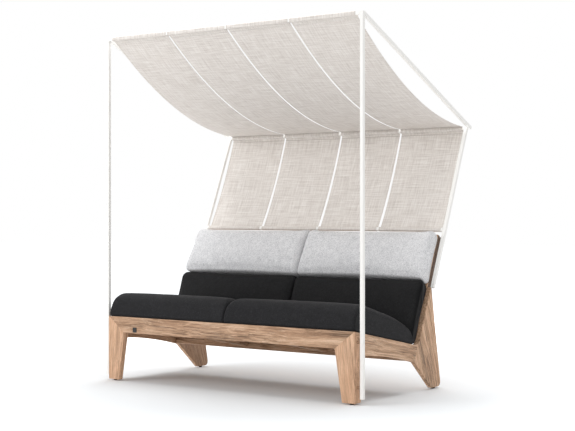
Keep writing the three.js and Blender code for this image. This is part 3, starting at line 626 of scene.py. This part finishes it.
def lengths(points):
    """The way along a line of points, up to each of them."""
    return np.concatenate([[0], np.cumsum(np.linalg.norm(np.diff(points, axis=0), axis=1))])


def away_from(points, place):
    return np.linalg.norm(points - np.array(place), axis=1)


def places_at(at, length, points):
    """Places on a line of points by the way along it."""
    return np.column_stack([np.interp(at, length, points[:, k]) for k in (0, 1)])


def square_wrap(centre, lean, reach, turns, radius=3 * MM, steps=4):
    """Points round a square tube: turns is a list of corner numbers, 0 low front, 1 low rear,
    2 top rear and 3 top front, each rounded."""
    signs = {0: (-1, -1), 1: (1, -1), 2: (1, 1), 3: (-1, 1)}
    points = []
    for k, corner in enumerate(turns):
        sy, sz = signs[corner % 4]
        nxt = signs[turns[k + 1] % 4] if k + 1 < len(turns) else None
        last = signs[turns[k - 1] % 4] if k > 0 else None
        cy, cz = sy * (reach - radius), sz * (reach - radius)
        away = math.atan2(sz, sy)
        clockwise = 1
        if nxt is not None:
            clockwise = 1 if sy * nxt[1] - sz * nxt[0] > 0 else -1
        elif last is not None:
            clockwise = 1 if last[0] * sz - last[1] * sy > 0 else -1
        for j in range(steps + 1):
            a = away + clockwise * (j / steps - 0.5) * math.pi / 2
            points.append((cy + radius * math.cos(a), cz + radius * math.sin(a)))
    turned = []
    for y, z in points:
        turned.append((centre[0] + y * math.cos(lean) + z * math.sin(lean),
                       centre[1] - y * math.sin(lean) + z * math.cos(lean)))
    return turned


def hang(start, end, sag, way, count):
    """Points of a hanging curve, a parabola below the straight line, both ends included."""
    share = np.linspace(0.0, 1.0, count)
    depth = 4 * sag * share * (1 - share)
    return np.column_stack([start[0] + (end[0] - start[0]) * share + way[0] * depth,
                            start[1] + (end[1] - start[1]) * share + way[1] * depth])


def smooth_path(points, spacing, finer_at):
    """The same path in even short steps, with shorter ones at the given places."""
    points = np.array(points, float)
    keep = np.ones(len(points), bool)
    keep[1:] = np.linalg.norm(np.diff(points, axis=0), axis=1) > 1e-6
    points = points[keep]
    length = lengths(points)
    count = max(int(length[-1] / spacing), 2)
    at = np.linspace(0, length[-1], count)
    for place in finer_at:
        middle = length[np.argmin(away_from(points, place))]
        at = np.concatenate([at[np.abs(at - middle) > 0.003],
                             middle + np.array([-2.0, -1.0, 0.0, 1.0, 2.0]) * MM])
    at = np.sort(at[(at >= 0) & (at <= length[-1])])
    return places_at(at, length, points), at


def strip_paths():
    """The side view paths of a strip, the long sheet and the pocket under the rear rail, and
    the places of their seams."""
    reach = TUBE + 0.3 * MM + CLOTH / 2
    lap = 16 * MM
    under = CLOTH * 1.15

    def rear(turns, far=reach):
        return square_wrap(REAR_RAIL, BACK_LEAN, far, turns)

    def lower(turns):
        return square_wrap(LOWER_RAIL, BACK_LEAN, reach, turns)

    roof_start = (FRONT_RAIL[0] + reach + 0.2 * MM, FRONT_RAIL[1] - TUBE)
    roof = hang(roof_start, rear([3])[0], ROOF_SAG, (0, -1), 150)
    over, low = rear([3, 2]), lower([2, 1, 0, 3])
    behind = (math.cos(BACK_LEAN), -math.sin(BACK_LEAN))
    down = hang(over[-1], low[0], BACK_SAG, behind, 80)

    # Under the sheet behind the tube, forward under it, up its front, over it and down behind
    hem = [(y, z - under) for y, z in roof if y < roof_start[0] + lap][::-1]
    front = [(FRONT_RAIL[0] + reach - 4 * MM, FRONT_RAIL[1] - reach),
             *square_wrap(FRONT_RAIL, 0.0, reach, [0, 3, 2])]
    main = (hem + front + list(roof)[1:-1] + over + list(down)[1:-1] + low
            + lower([3, 2])[-1:])

    # The pocket strip under and before the rear rail is sewn to the sheet at both ends
    before = [(y, z - under) for y, z in roof if y > roof[-1][0] - lap]
    top = down[0][1] - TUBE * 2
    after = [(y - under * math.cos(BACK_LEAN), z + under * math.sin(BACK_LEAN))
             for y, z in down if top - lap < z < top]
    pocket = before + rear([3, 0, 1], reach + 0.1 * MM) + after
    # The front pocket is sewn down behind its tube, the rear one on either side of its own
    seam_front = next(p for p in roof if p[0] > roof_start[0] + lap / 2)
    return main, pocket, (seam_front, before[0], after[-1])


def sheet_mesh(name, path, x_low, x_high, draw_low, draw_high, seam_places, hem=9 * MM):
    """A closed thin cloth with the side view path, from x_low to x_high, drawn in down the back.
    Seams run across it at the given places of the side view."""
    points, at = smooth_path(path, 5 * MM, seam_places)
    seams = [at[np.argmin(away_from(points, place))] for place in seam_places]
    way = np.gradient(points, axis=0)
    way /= np.linalg.norm(way, axis=1)[:, None]
    across = np.column_stack([-way[:, 1], way[:, 0]])
    top, bottom = REAR_RAIL[1], LOWER_RAIL[1]
    share_down = np.clip((top - points[:, 1]) / (top - bottom), 0, 1)
    behind_rear = points[:, 1] < REAR_RAIL[1] + TUBE * 2
    share_down = np.where(behind_rear & (points[:, 0] > LOWER_RAIL[0] - 0.05), share_down, 0)
    left = x_low + draw_low * share_down
    right = x_high - draw_high * share_down
    inner = np.linspace(0.0, 1.0, 44)
    edge = hem / (x_high - x_low)
    near_edge = edge * np.array([0, 0.35, 0.92, 1, 1.12])
    shares = np.unique(np.concatenate([near_edge, inner[1:-1], 1 - near_edge]))
    xs = left[:, None] + (right - left)[:, None] * shares[None, :]
    in_hem = (shares <= edge * 0.95) | (shares >= 1 - edge * 0.95)
    half = np.where(in_hem, CLOTH * 0.72, CLOTH * 0.5)[None, :] * np.ones((len(points), 1))
    half[:, [0, -1]] = CLOTH * 0.3
    # faint waves run down the sheet, fuller towards the free edges
    wave = (np.sin(xs * 23.0 + points[:, 0:1] * 2.0) * 0.5
            + np.sin(xs * 41.0 - points[:, 1:2] * 3.0) * 0.3)
    far = np.min([away_from(points, rail) for rail in (FRONT_RAIL, REAR_RAIL, LOWER_RAIL)], axis=0)
    loose = np.clip((far - 0.03) / 0.25, 0, 1)[:, None]
    ripple = wave * loose * 1.1 * MM
    rows, columns = xs.shape
    layers = []
    for sign in (1, -1):
        offset = sign * half + ripple
        layers.append(np.stack([xs, points[:, 0:1] + across[:, 0:1] * offset,
                                points[:, 1:2] + across[:, 1:2] * offset], axis=-1))
    vertices = np.concatenate([layer.reshape(-1, 3) for layer in layers])
    count = rows * columns

    def quads(a, b, c, d):
        return np.stack([a, b, c, d], axis=-1).reshape(-1, 4).tolist()

    grid = np.arange(count).reshape(rows, columns)
    a, b, c, d = grid[:-1, :-1], grid[:-1, 1:], grid[1:, 1:], grid[1:, :-1]
    faces = quads(a, b, c, d) + quads(a + count, d + count, c + count, b + count)
    for line in (grid[:, 0], grid[0]):
        faces += quads(line[:-1], line[1:], line[1:] + count, line[:-1] + count)
    for line in (grid[:, -1], grid[-1]):
        faces += quads(line[:-1] + count, line[1:] + count, line[1:], line[:-1])
    made = mesh_object(name, vertices, faces)
    mesh = made.data
    v_of = np.tile(np.repeat(at, columns), 2)
    u_of = np.tile(xs.reshape(-1), 2)
    index = np.empty(len(mesh.loops), int)
    mesh.loops.foreach_get("vertex_index", index)
    from_edge = np.tile(np.minimum(xs - left[:, None], right[:, None] - xs).reshape(-1), 2)
    from_seam = np.min([np.abs(at - seam) for seam in seams], axis=0)
    from_seam = np.tile(np.repeat(from_seam, columns), 2)
    # the roof's upper side, past the front pocket and as far as the rear rail, which the cloth's painted
    # shade darkens
    roof = (points[:, 0] > FRONT_RAIL[0] + 0.011) & (at > 0.05)
    roof &= np.arange(len(points)) < np.argmax(points[:, 0]) - 3
    above = np.concatenate([np.repeat(roof.astype(float), columns), np.zeros(count)])
    for label, u, v in (("cloth", u_of, v_of), ("hem", from_edge, from_seam),
                        ("upper", above, above)):
        layer = mesh.uv_layers.new(name=label)
        uv = np.column_stack([u[index], v[index]]).astype(np.float32)
        layer.data.foreach_set("uv", uv.reshape(-1))
    outward(made)
    return made, at[-1]


def outward(piece):
    """Turns every face outwards on a closed mesh."""
    work = bmesh.new()
    work.from_mesh(piece.data)
    bmesh.ops.recalc_face_normals(work, faces=work.faces)
    work.to_mesh(piece.data)
    work.free()


def make_canopy():
    main, pocket, (seam_front, seam_before, seam_after) = strip_paths()
    gap, count = 12 * MM, 4
    half = HALF_WIDTH - 9 * MM
    pitch = (2 * half + gap) / count
    for k in range(count):
        x_low = -half + k * pitch
        x_high = x_low + pitch - gap
        draw_low = 4 * MM if k == 0 else 3 * MM
        draw_high = 4 * MM if k == count - 1 else 3 * MM
        strip, length = sheet_mesh(f"canopy_cloth_{k + 1}", main, x_low, x_high, draw_low,
                                   draw_high, (seam_front, seam_before, seam_after))
        sleeve, sleeve_length = sheet_mesh(f"rear_pocket_{k + 1}", pocket, x_low + 1 * MM,
                                           x_high - 1 * MM, 1 * MM, 1 * MM,
                                           (seam_before, seam_after))
        for piece in (strip, sleeve):
            piece.data.materials.append(looks["canopy_cloth"])
            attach(piece, "frame")
        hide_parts(f"canopy_strip_{k + 1}")


make_canopy()


# ---------------------------------------------------------------- cushions

# Sections as shares of depth and thickness, near those of the solids, with the seat's rear
# foot and the headrest's lower edge a little sharper
SEAT_SECTION = [
    (0.04, 0), (0.35, 0), (0.65, 0), (0.975, 0), (0.998, 0.04), (0.985, 0.27), (0.94, 0.47),
    (0.86, 0.65), (0.72, 0.8), (0.57, 0.885), (0.42, 0.93), (0.27, 0.975), (0.16, 1),
    (0.085, 0.93), (0.035, 0.74), (0.01, 0.46), (0, 0.2), (0.01, 0.04),
]
BACK_SECTION = [
    (0.14, 0), (0.3, 0), (0.7, 0), (0.965, 0), (0.992, 0.04), (0.999, 0.4), (0.996, 0.78),
    (0.965, 0.956), (0.88, 1), (0.6, 1), (0.35, 0.956), (0.22, 0.868), (0.14, 0.747),
    (0.085, 0.615), (0.035, 0.46), (0.006, 0.38), (0.002, 0.27), (0.03, 0.15), (0.075, 0.055),
]
HEADREST_SECTION = [
    (0.03, 0.01), (0.3, 0), (0.6, 0), (0.86, 0), (0.945, 0.03), (0.985, 0.12), (1, 0.3),
    (0.985, 0.52), (0.94, 0.685), (0.86, 0.793), (0.7, 0.88), (0.45, 0.956), (0.24, 1),
    (0.095, 0.982), (0.024, 0.915), (0.004, 0.78), (0.002, 0.37), (0.008, 0.06),
]


def blend_at(t, start, end, a, b):
    return (end - t) / (end - start) * a + (t - start) / (end - start) * b


def closed_curve(points, count):
    """A centripetal Catmull-Rom line through closed points, in even steps."""
    p = np.array(points, float)
    n = len(p)
    dense = []
    for i in range(n):
        near = [p[i - 1], p[i], p[(i + 1) % n], p[(i + 2) % n]]
        steps = [max(np.linalg.norm(b - a), 1e-6) ** 0.5 for a, b in zip(near, near[1:])]
        knots = np.cumsum([0.0, *steps])
        for t in np.linspace(knots[1], knots[2], 12, endpoint=False):
            a = [blend_at(t, knots[k], knots[k + 1], near[k], near[k + 1]) for k in range(3)]
            b = [blend_at(t, knots[k], knots[k + 2], a[k], a[k + 1]) for k in range(2)]
            dense.append(blend_at(t, knots[1], knots[2], *b))
    dense = np.array(dense)
    closed = np.vstack([dense, dense[:1]])
    length = lengths(closed)
    at = np.linspace(0, length[-1], count, endpoint=False)
    return places_at(at, length, closed)


def smooth_step(value):
    value = np.clip(value, 0, 1)
    return value * value * (3 - 2 * value)


class Cushion:
    """A section carried along X, rounded at both ends, crowned on the far face and drawn in
    between the corners: local x along, y in depth, z in thickness, resting on z = 0. The
    end at the far x is the outer one and leans back by the tuck where it rests."""

    AROUND = 104
    CAP_SHARES = (0.9, 0.76, 0.58, 0.38, 0.18)

    def __init__(self, section, length, depth, thick, crown, rounding, corner, foot, tuck):
        self.length, self.depth, self.thick = length, depth, thick
        self.crown, self.rounding, self.tuck = crown, rounding, tuck
        self.corner, self.foot = corner, foot
        self.draw = 6 * MM
        curve = closed_curve([(y * depth, z * thick) for y, z in section], self.AROUND)
        curve[:, 1] = np.maximum(curve[:, 1], 0)
        self.section = curve

    def off(self, radius, x):
        past = max(radius - self.length / 2 + abs(x), 0)
        return radius - math.sqrt(max(radius ** 2 - past ** 2, 0))

    def ring(self, x):
        share = x / (self.length / 2)
        y, z = self.section[:, 0], self.section[:, 1]
        y_share = np.clip(2 * y / self.depth - 1, -1, 1)
        z_share = np.clip(z / self.thick, 0, 1)
        flat = 0.05 + 0.95 * smooth_step((z_share - 0.35) / 0.3)
        inset_z = self.off(self.rounding, x)
        inset_y = np.where(y_share < 0, self.off(self.foot, x), self.off(self.corner, x))
        new_z = self.thick / 2 + (z - self.thick / 2) * (1 - 2 * inset_z * flat / self.thick)
        new_y = self.depth / 2 + (y - self.depth / 2) * (1 - 2 * inset_y / self.depth)
        swell = (1 - y_share ** 2) ** 2 * (1 - share ** 2) * z_share
        draw = self.draw * (1 - share ** 2) * y_share ** 3
        pull = self.draw * share ** 3 * (1 - y_share ** 2)
        near = smooth_step((x - self.length / 2 + 0.07) / 0.07)
        back = near * self.tuck * (1 - z_share)
        return np.column_stack([x - pull - back, new_y - draw, new_z + self.crown * swell])

    def rings(self):
        """Rings from the middle of one end face over the body to the middle of the other."""
        half = self.length / 2
        ends = [half - self.corner * (1 - math.cos(t)) for t in np.linspace(0, math.pi / 2, 9)[:-1]]
        straight = half - self.corner
        body = [self.ring(-x) for x in ends]
        body += [self.ring(x) for x in np.linspace(-straight, straight, 70)]
        body += [self.ring(x) for x in ends[::-1]]
        for end in (0, -1):
            outer = body[end]
            middle = outer.mean(axis=0)
            bulge = 4 * MM * (-1 if end == 0 else 1)
            faces = []
            for share in self.CAP_SHARES:
                inner = middle + (outer - middle) * share
                inner[:, 0] += bulge * (1 - share ** 2)
                faces.append(inner)
            body = faces[::-1] + body if end == 0 else body + faces
        return np.array(body)


def tube_parts(rings, first=0):
    """Points and faces of a closed form over rings of points, each end shut by a fan round its
    middle. The faces count the points from first on."""
    count, around = rings.shape[:2]
    k, i = np.meshgrid(np.arange(count - 1), np.arange(around), indexing="ij")
    j = (i + 1) % around
    quads = np.stack([k * around + i, k * around + j, (k + 1) * around + j, (k + 1) * around + i],
                     axis=-1).reshape(-1, 4)
    hub = count * around
    i = np.arange(around)
    j = (i + 1) % around
    fans = (np.column_stack([np.full(around, hub), j, i]),
            np.column_stack([np.full(around, hub + 1), hub - around + i, hub - around + j]))
    points = np.vstack([rings.reshape(-1, 3), rings[0].mean(axis=0), rings[-1].mean(axis=0)])
    return points, [face for block in (quads, *fans) for face in (block + first).tolist()]


def tube_mesh(name, rings):
    made = mesh_object(name, *tube_parts(rings))
    outward(made)
    return made


FILL_FRAMES = 20
FILL_SETTINGS = dict(
    quality=6, mass=0.35, tension_stiffness=26, compression_stiffness=26, shear_stiffness=7,
    bending_stiffness=1.2, tension_damping=12, use_pressure=True, uniform_pressure_force=4.0,
    shrink_min=-0.012)


def stuffed(rings, seed, limit):
    """Lets a cloth cover fill up from inside and gives back its rings, each point moved by
    no more than the limit."""
    piece = tube_mesh("stuffing", rings)
    slack = np.random.default_rng(seed)
    press = piece.modifiers.new("fill", "CLOTH")
    for label, value in FILL_SETTINGS.items():
        setattr(press.settings, label, value)
    press.settings.effector_weights.gravity = 0.0
    press.collision_settings.use_collision = False
    press.point_cache.frame_start = 1
    press.point_cache.frame_end = FILL_FRAMES
    places = rings.reshape(-1, 3) + slack.normal(0, 0.15 * MM, (rings.shape[0] * rings.shape[1], 3))
    flat = np.vstack([places, rings[0].mean(axis=0), rings[-1].mean(axis=0)])
    piece.data.vertices.foreach_set("co", flat.astype(np.float32).reshape(-1))
    piece.data.update()
    scene = bpy.context.scene
    for step in range(1, FILL_FRAMES + 1):
        scene.frame_set(step)
    graph = bpy.context.evaluated_depsgraph_get()
    filled = piece.evaluated_get(graph).to_mesh()
    out = np.empty(len(filled.vertices) * 3, np.float32)
    filled.vertices.foreach_get("co", out)
    out = out.reshape(-1, 3)[:-2].reshape(rings.shape).astype(float)
    piece.evaluated_get(graph).to_mesh_clear()
    mesh = piece.data
    bpy.data.objects.remove(piece)
    bpy.data.meshes.remove(mesh)
    scene.frame_set(1)
    move = out - rings
    far = np.linalg.norm(move, axis=-1, keepdims=True)
    print("stuffing moved up to %.1f mm, in the middle %.1f mm" % (far.max() * 1000,
                                                                 np.median(far) * 1000))
    return rings + move * (limit * np.tanh(far / limit) / np.maximum(far, 1e-9))


def fine_lines(count, closed, seams, reach, fine):
    """Places along one direction of the grid: two to a cell, closer at each seam."""
    last = count if closed else count - 1
    lines = list(np.arange(0, last + (0 if closed else 0.01), 0.5))
    for seam in seams:
        lines = [v for v in lines if abs(v - seam) > reach]
        lines += [seam + reach * f for f in fine]
    return np.array(sorted(lines))


def resample(grid, lines, axis, closed):
    """Catmull-Rom values of the grid at fractional places along one axis."""
    count = grid.shape[axis]
    base = np.floor(lines).astype(int)
    t = lines - base
    if not closed:
        base = np.minimum(base, count - 2)
        t = lines - base

    def take(shift):
        index = base + shift
        index = index % count if closed else np.clip(index, 0, count - 1)
        return np.take(grid, index, axis=axis)

    shape = [1] * grid.ndim
    shape[axis] = len(lines)
    t = t.reshape(shape)
    p0, p1, p2, p3 = take(-1), take(0), take(1), take(2)
    return 0.5 * (2 * p1 + (p2 - p0) * t + (2 * p0 - 5 * p1 + 4 * p2 - p3) * t ** 2
                  + (3 * p1 - p0 - 3 * p2 + p3) * t ** 3)


SEAM_STEPS = (-1.0, -0.72, -0.48, -0.28, -0.12, 0.0, 0.12, 0.28, 0.48, 0.72, 1.0)


def seamed(rings, end_rings, long_rows):
    """The filled cover in finer steps, with a sunk seam and raised lips on either side."""
    across = fine_lines(rings.shape[0], False, end_rings, 1.5, SEAM_STEPS)
    around = fine_lines(rings.shape[1], True, long_rows, 0.9, SEAM_STEPS)
    grid = resample(resample(rings, across, 0, False), around, 1, True)
    along = np.gradient(grid, axis=0)
    turn = np.roll(grid, -1, axis=1) - np.roll(grid, 1, axis=1)
    normal = np.cross(turn, along)
    normal /= np.maximum(np.linalg.norm(normal, axis=-1, keepdims=True), 1e-9)
    if np.sum(normal[len(normal) // 2] * (grid[len(grid) // 2] - grid[len(grid) // 2].mean(axis=0))) < 0:
        normal = -normal
    depth = np.zeros(grid.shape[:2])

    def profile(far):
        return -1.5 * MM * np.exp(-(far / (1.3 * MM)) ** 2) + 0.5 * MM * np.exp(
            -((far - 4.0 * MM) / (2.4 * MM)) ** 2)

    for seam in end_rings:
        row = int(np.argmin(np.abs(across - seam)))
        far = np.linalg.norm(grid - grid[row][None], axis=-1)
        near = np.abs(across - seam) < 1.6
        depth += np.where(near[:, None], profile(far), 0)
    inside = (across > end_rings[0]) & (across < end_rings[-1])
    for seam in long_rows:
        column = int(np.argmin(np.abs(around - seam)))
        far = np.linalg.norm(grid - grid[:, column][:, None], axis=-1)
        near = np.abs(around - seam) < 1.6
        depth += np.where(near[None, :] & inside[:, None], profile(far), 0)
    return grid + normal * depth[..., None]


BACK_THICK, BACK_TALL = 109 * MM, 371 * MM
REST, SETBACK = 0.5 * MM, 0.2 * MM      # a cushion above what it lies on, and behind the back
OVERHANG = 9 * MM
BETWEEN = 2 * MM
FILL_LIMIT = 7 * MM
SEAM_IN = 3                             # rings from a cap to its seam
HOLD, EASE = 2 * MM, 0.03               # cover that stays put at an edge, and grows free over


def make_cushions():
    seat_depth = SEAT_DEPTH - (0.45 * BACK_THICK - SETBACK) - 2 * MM + OVERHANG
    out = REST - SETBACK
    # shape: section, length from the middle, depth, thickness, crown, rounding, corner, foot, tuck
    kinds = {
        "seat_cushion": dict(
            shape=(SEAT_SECTION, HALF_WIDTH - 1 * MM, seat_depth, 150 * MM, 17 * MM, 34 * MM,
                   10 * MM, 16 * MM, 0),
            place=seat_place, at=(-OVERHANG, REST), slot="seat_cloth", fill=0.9,
            seams=[(0.97, 0.02), (0.006, 0.08)]),
        "back_cushion": dict(
            shape=(BACK_SECTION, HALF_WIDTH + 15 * MM, BACK_TALL, BACK_THICK, 36 * MM, 10 * MM,
                   36 * MM, 10 * MM, 40 * MM),
            place=back_place, at=(REST, out), slot="back_cloth", fill=0.85,
            seams=[(0.975, 0.02), (0.975, 0.93)]),
        "headrest": dict(
            shape=(HEADREST_SECTION, HALF_WIDTH + 3 * MM, 318 * MM, 123 * MM, 14 * MM, 24 * MM,
                   24 * MM, 22 * MM, 24 * MM),
            place=back_place, at=(BACK_TALL + 2 * REST, out), slot="headrest_cloth", fill=0.75,
            seams=[(0.03, 0.02)]),
    }
    for number, (kind, made) in enumerate(kinds.items()):
        section, end, depth, thick, *rounding = made["shape"]
        length = end - BETWEEN / 2
        shape = Cushion(section, length, depth, thick, *rounding)
        start = shape.rings()
        curve = shape.section / np.array([depth, thick])
        rows = [int(np.argmin(away_from(curve, place))) for place in made["seams"]]
        first = len(Cushion.CAP_SHARES) + SEAM_IN
        for side, sign in (("left", -1), ("right", 1)):
            filled = stuffed(start, 10 * number + (sign > 0), FILL_LIMIT)
            move = filled - start
            # the cover may swell where it is free, and stays put where it touches
            free = smooth_step((start[..., 2] - 2 * HOLD) / EASE)
            inner = smooth_step((start[..., 0] + length / 2 - HOLD) / EASE)
            low = smooth_step((start[..., 1] - HOLD) / EASE)
            high = smooth_step((depth - HOLD - start[..., 1]) / EASE)
            keep = {"seat_cushion": free * inner * high, "back_cushion": free * inner * low * high,
                    "headrest": free * inner * low}[kind]
            grid = seamed(start + move * keep[..., None], [first, len(start) - 1 - first], rows)
            grid[..., 2] = np.maximum(grid[..., 2], 0)
            if sign < 0:
                grid[..., 0] *= -1
            along, above = made["at"]
            y, z = made["place"](grid[..., 1] + along, grid[..., 2] + above)
            world = np.stack([grid[..., 0] + sign * (BETWEEN / 2 + length / 2), y, z], axis=-1)
            piece = tube_mesh(f"{kind}_pad_{side}", world)
            piece.data.materials.append(looks[made["slot"]])
            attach(piece, f"{kind}_{side}")
            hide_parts(f"{kind}_{side}")


make_cushions()


# ---------------------------------------------------------------- screws and bolts

def turned_head(centre, way, radius, height, socket, sunk):
    """Rings of a round head that stands on a face: a profile turned about the way out of the
    face, domed down to its rim, with a six-sided socket sunk in the middle."""
    way = np.array(way, float)
    side = np.cross(way, (0.0, 0.6, 0.8))
    side /= np.linalg.norm(side)
    other = np.cross(way, side)
    angles = np.linspace(0, 2 * math.pi, 24, endpoint=False)
    hexagon = math.cos(math.pi / 6) / np.cos((angles % (math.pi / 3)) - math.pi / 6)
    profile = [(socket * 0.98, height - sunk, True), (socket, height, True)]
    for t in np.linspace(0.35, 1.0, 5):
        profile.append((radius * t, height * (1 - 0.75 * t ** 3), False))
    profile.append((radius, 0.0, False))
    rings = []
    for reach, level, six in profile:
        far = reach * (hexagon if six else np.ones_like(angles))
        rings.append(np.array(centre) + way * level + side * (far * np.cos(angles))[:, None]
                     + other * (far * np.sin(angles))[:, None])
    return np.array(rings)


def make_heads(name, heads, slot):
    """All heads of one kind as one piece, each closed by a fan at either end."""
    blocks, faces, count = [], [], 0
    for head in heads:
        points, closed = tube_parts(turned_head(*head), count)
        blocks.append(points)
        faces += closed
        count += len(points)
    piece = mesh_object(name, np.vstack(blocks), faces, smooth=False)
    outward(piece)
    piece.data.materials.append(looks[slot])
    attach(piece, "frame")


# Heads: radius, height, socket, how deep the socket is sunk
POST_BOLT = (7 * MM, 3.6 * MM, 2.6 * MM, 2 * MM)
UPRIGHT_BOLT = (6 * MM, 3.2 * MM, 2.3 * MM, 2 * MM)
SCREW = (4 * MM, 0.3 * MM, 1.6 * MM, 0.25 * MM)
# Where they stand, as in the solids: outer faces of the posts and uprights, bolts up the posts
# and at the uprights' feet, and the screws over the ledgers, bearers and battens
POST_FACE, UPRIGHT_FACE = 945.6 * MM, 925.3 * MM
POST_BOLTS = (92 * MM, 336 * MM)
UPRIGHT_FOOT = (364.5 * MM, -6 * MM)
LEDGER_X, BEARER_X, BATTEN_X = 864.7 * MM, 300 * MM, 846.7 * MM
HALF_SLAT, SLAT_SCREW = 10 * MM, 18 * MM
BATTEN_REAR = -50.5 * MM
PLANKS = ((21, 181), (206.33, 181), (391.67, 181), (577, 111))     # mm up the back, and height


def make_fasteners():
    bolts = []
    for sign in (-1, 1):
        way = (sign, 0.0, 0.0)
        for z in POST_BOLTS:
            bolts.append(((sign * POST_FACE, POST_Y, z), way, *POST_BOLT))
        for place in (back_place(*UPRIGHT_FOOT), LOWER_RAIL, REAR_RAIL):
            bolts.append(((sign * UPRIGHT_FACE, *place), way, *UPRIGHT_BOLT))
    make_heads("frame_bolts", bolts, "white_tube")

    screws = []
    for k in range(1, 8):
        across = middle_of(f"seat_slat_{k}")[0] - SHIFT_Y
        along = across / math.cos(SEAT_SLOPE) + HALF_SLAT * math.tan(SEAT_SLOPE)
        for x in (-LEDGER_X, -BEARER_X, BEARER_X, LEDGER_X):
            for step in (-SLAT_SCREW, SLAT_SCREW):
                screws.append(((x, *seat_place(along + step, 0.0)), SEAT_UP, *SCREW))
    for up, tall in PLANKS:
        for x in (-BATTEN_X, 0.0, BATTEN_X):
            for share in (0.22, 0.78):
                place = back_place((up + tall * share) * MM, BATTEN_REAR)
                screws.append(((x, *place), BACK_WAY, *SCREW))
    make_heads("wood_screws", screws, "dark_plate")


make_fasteners()
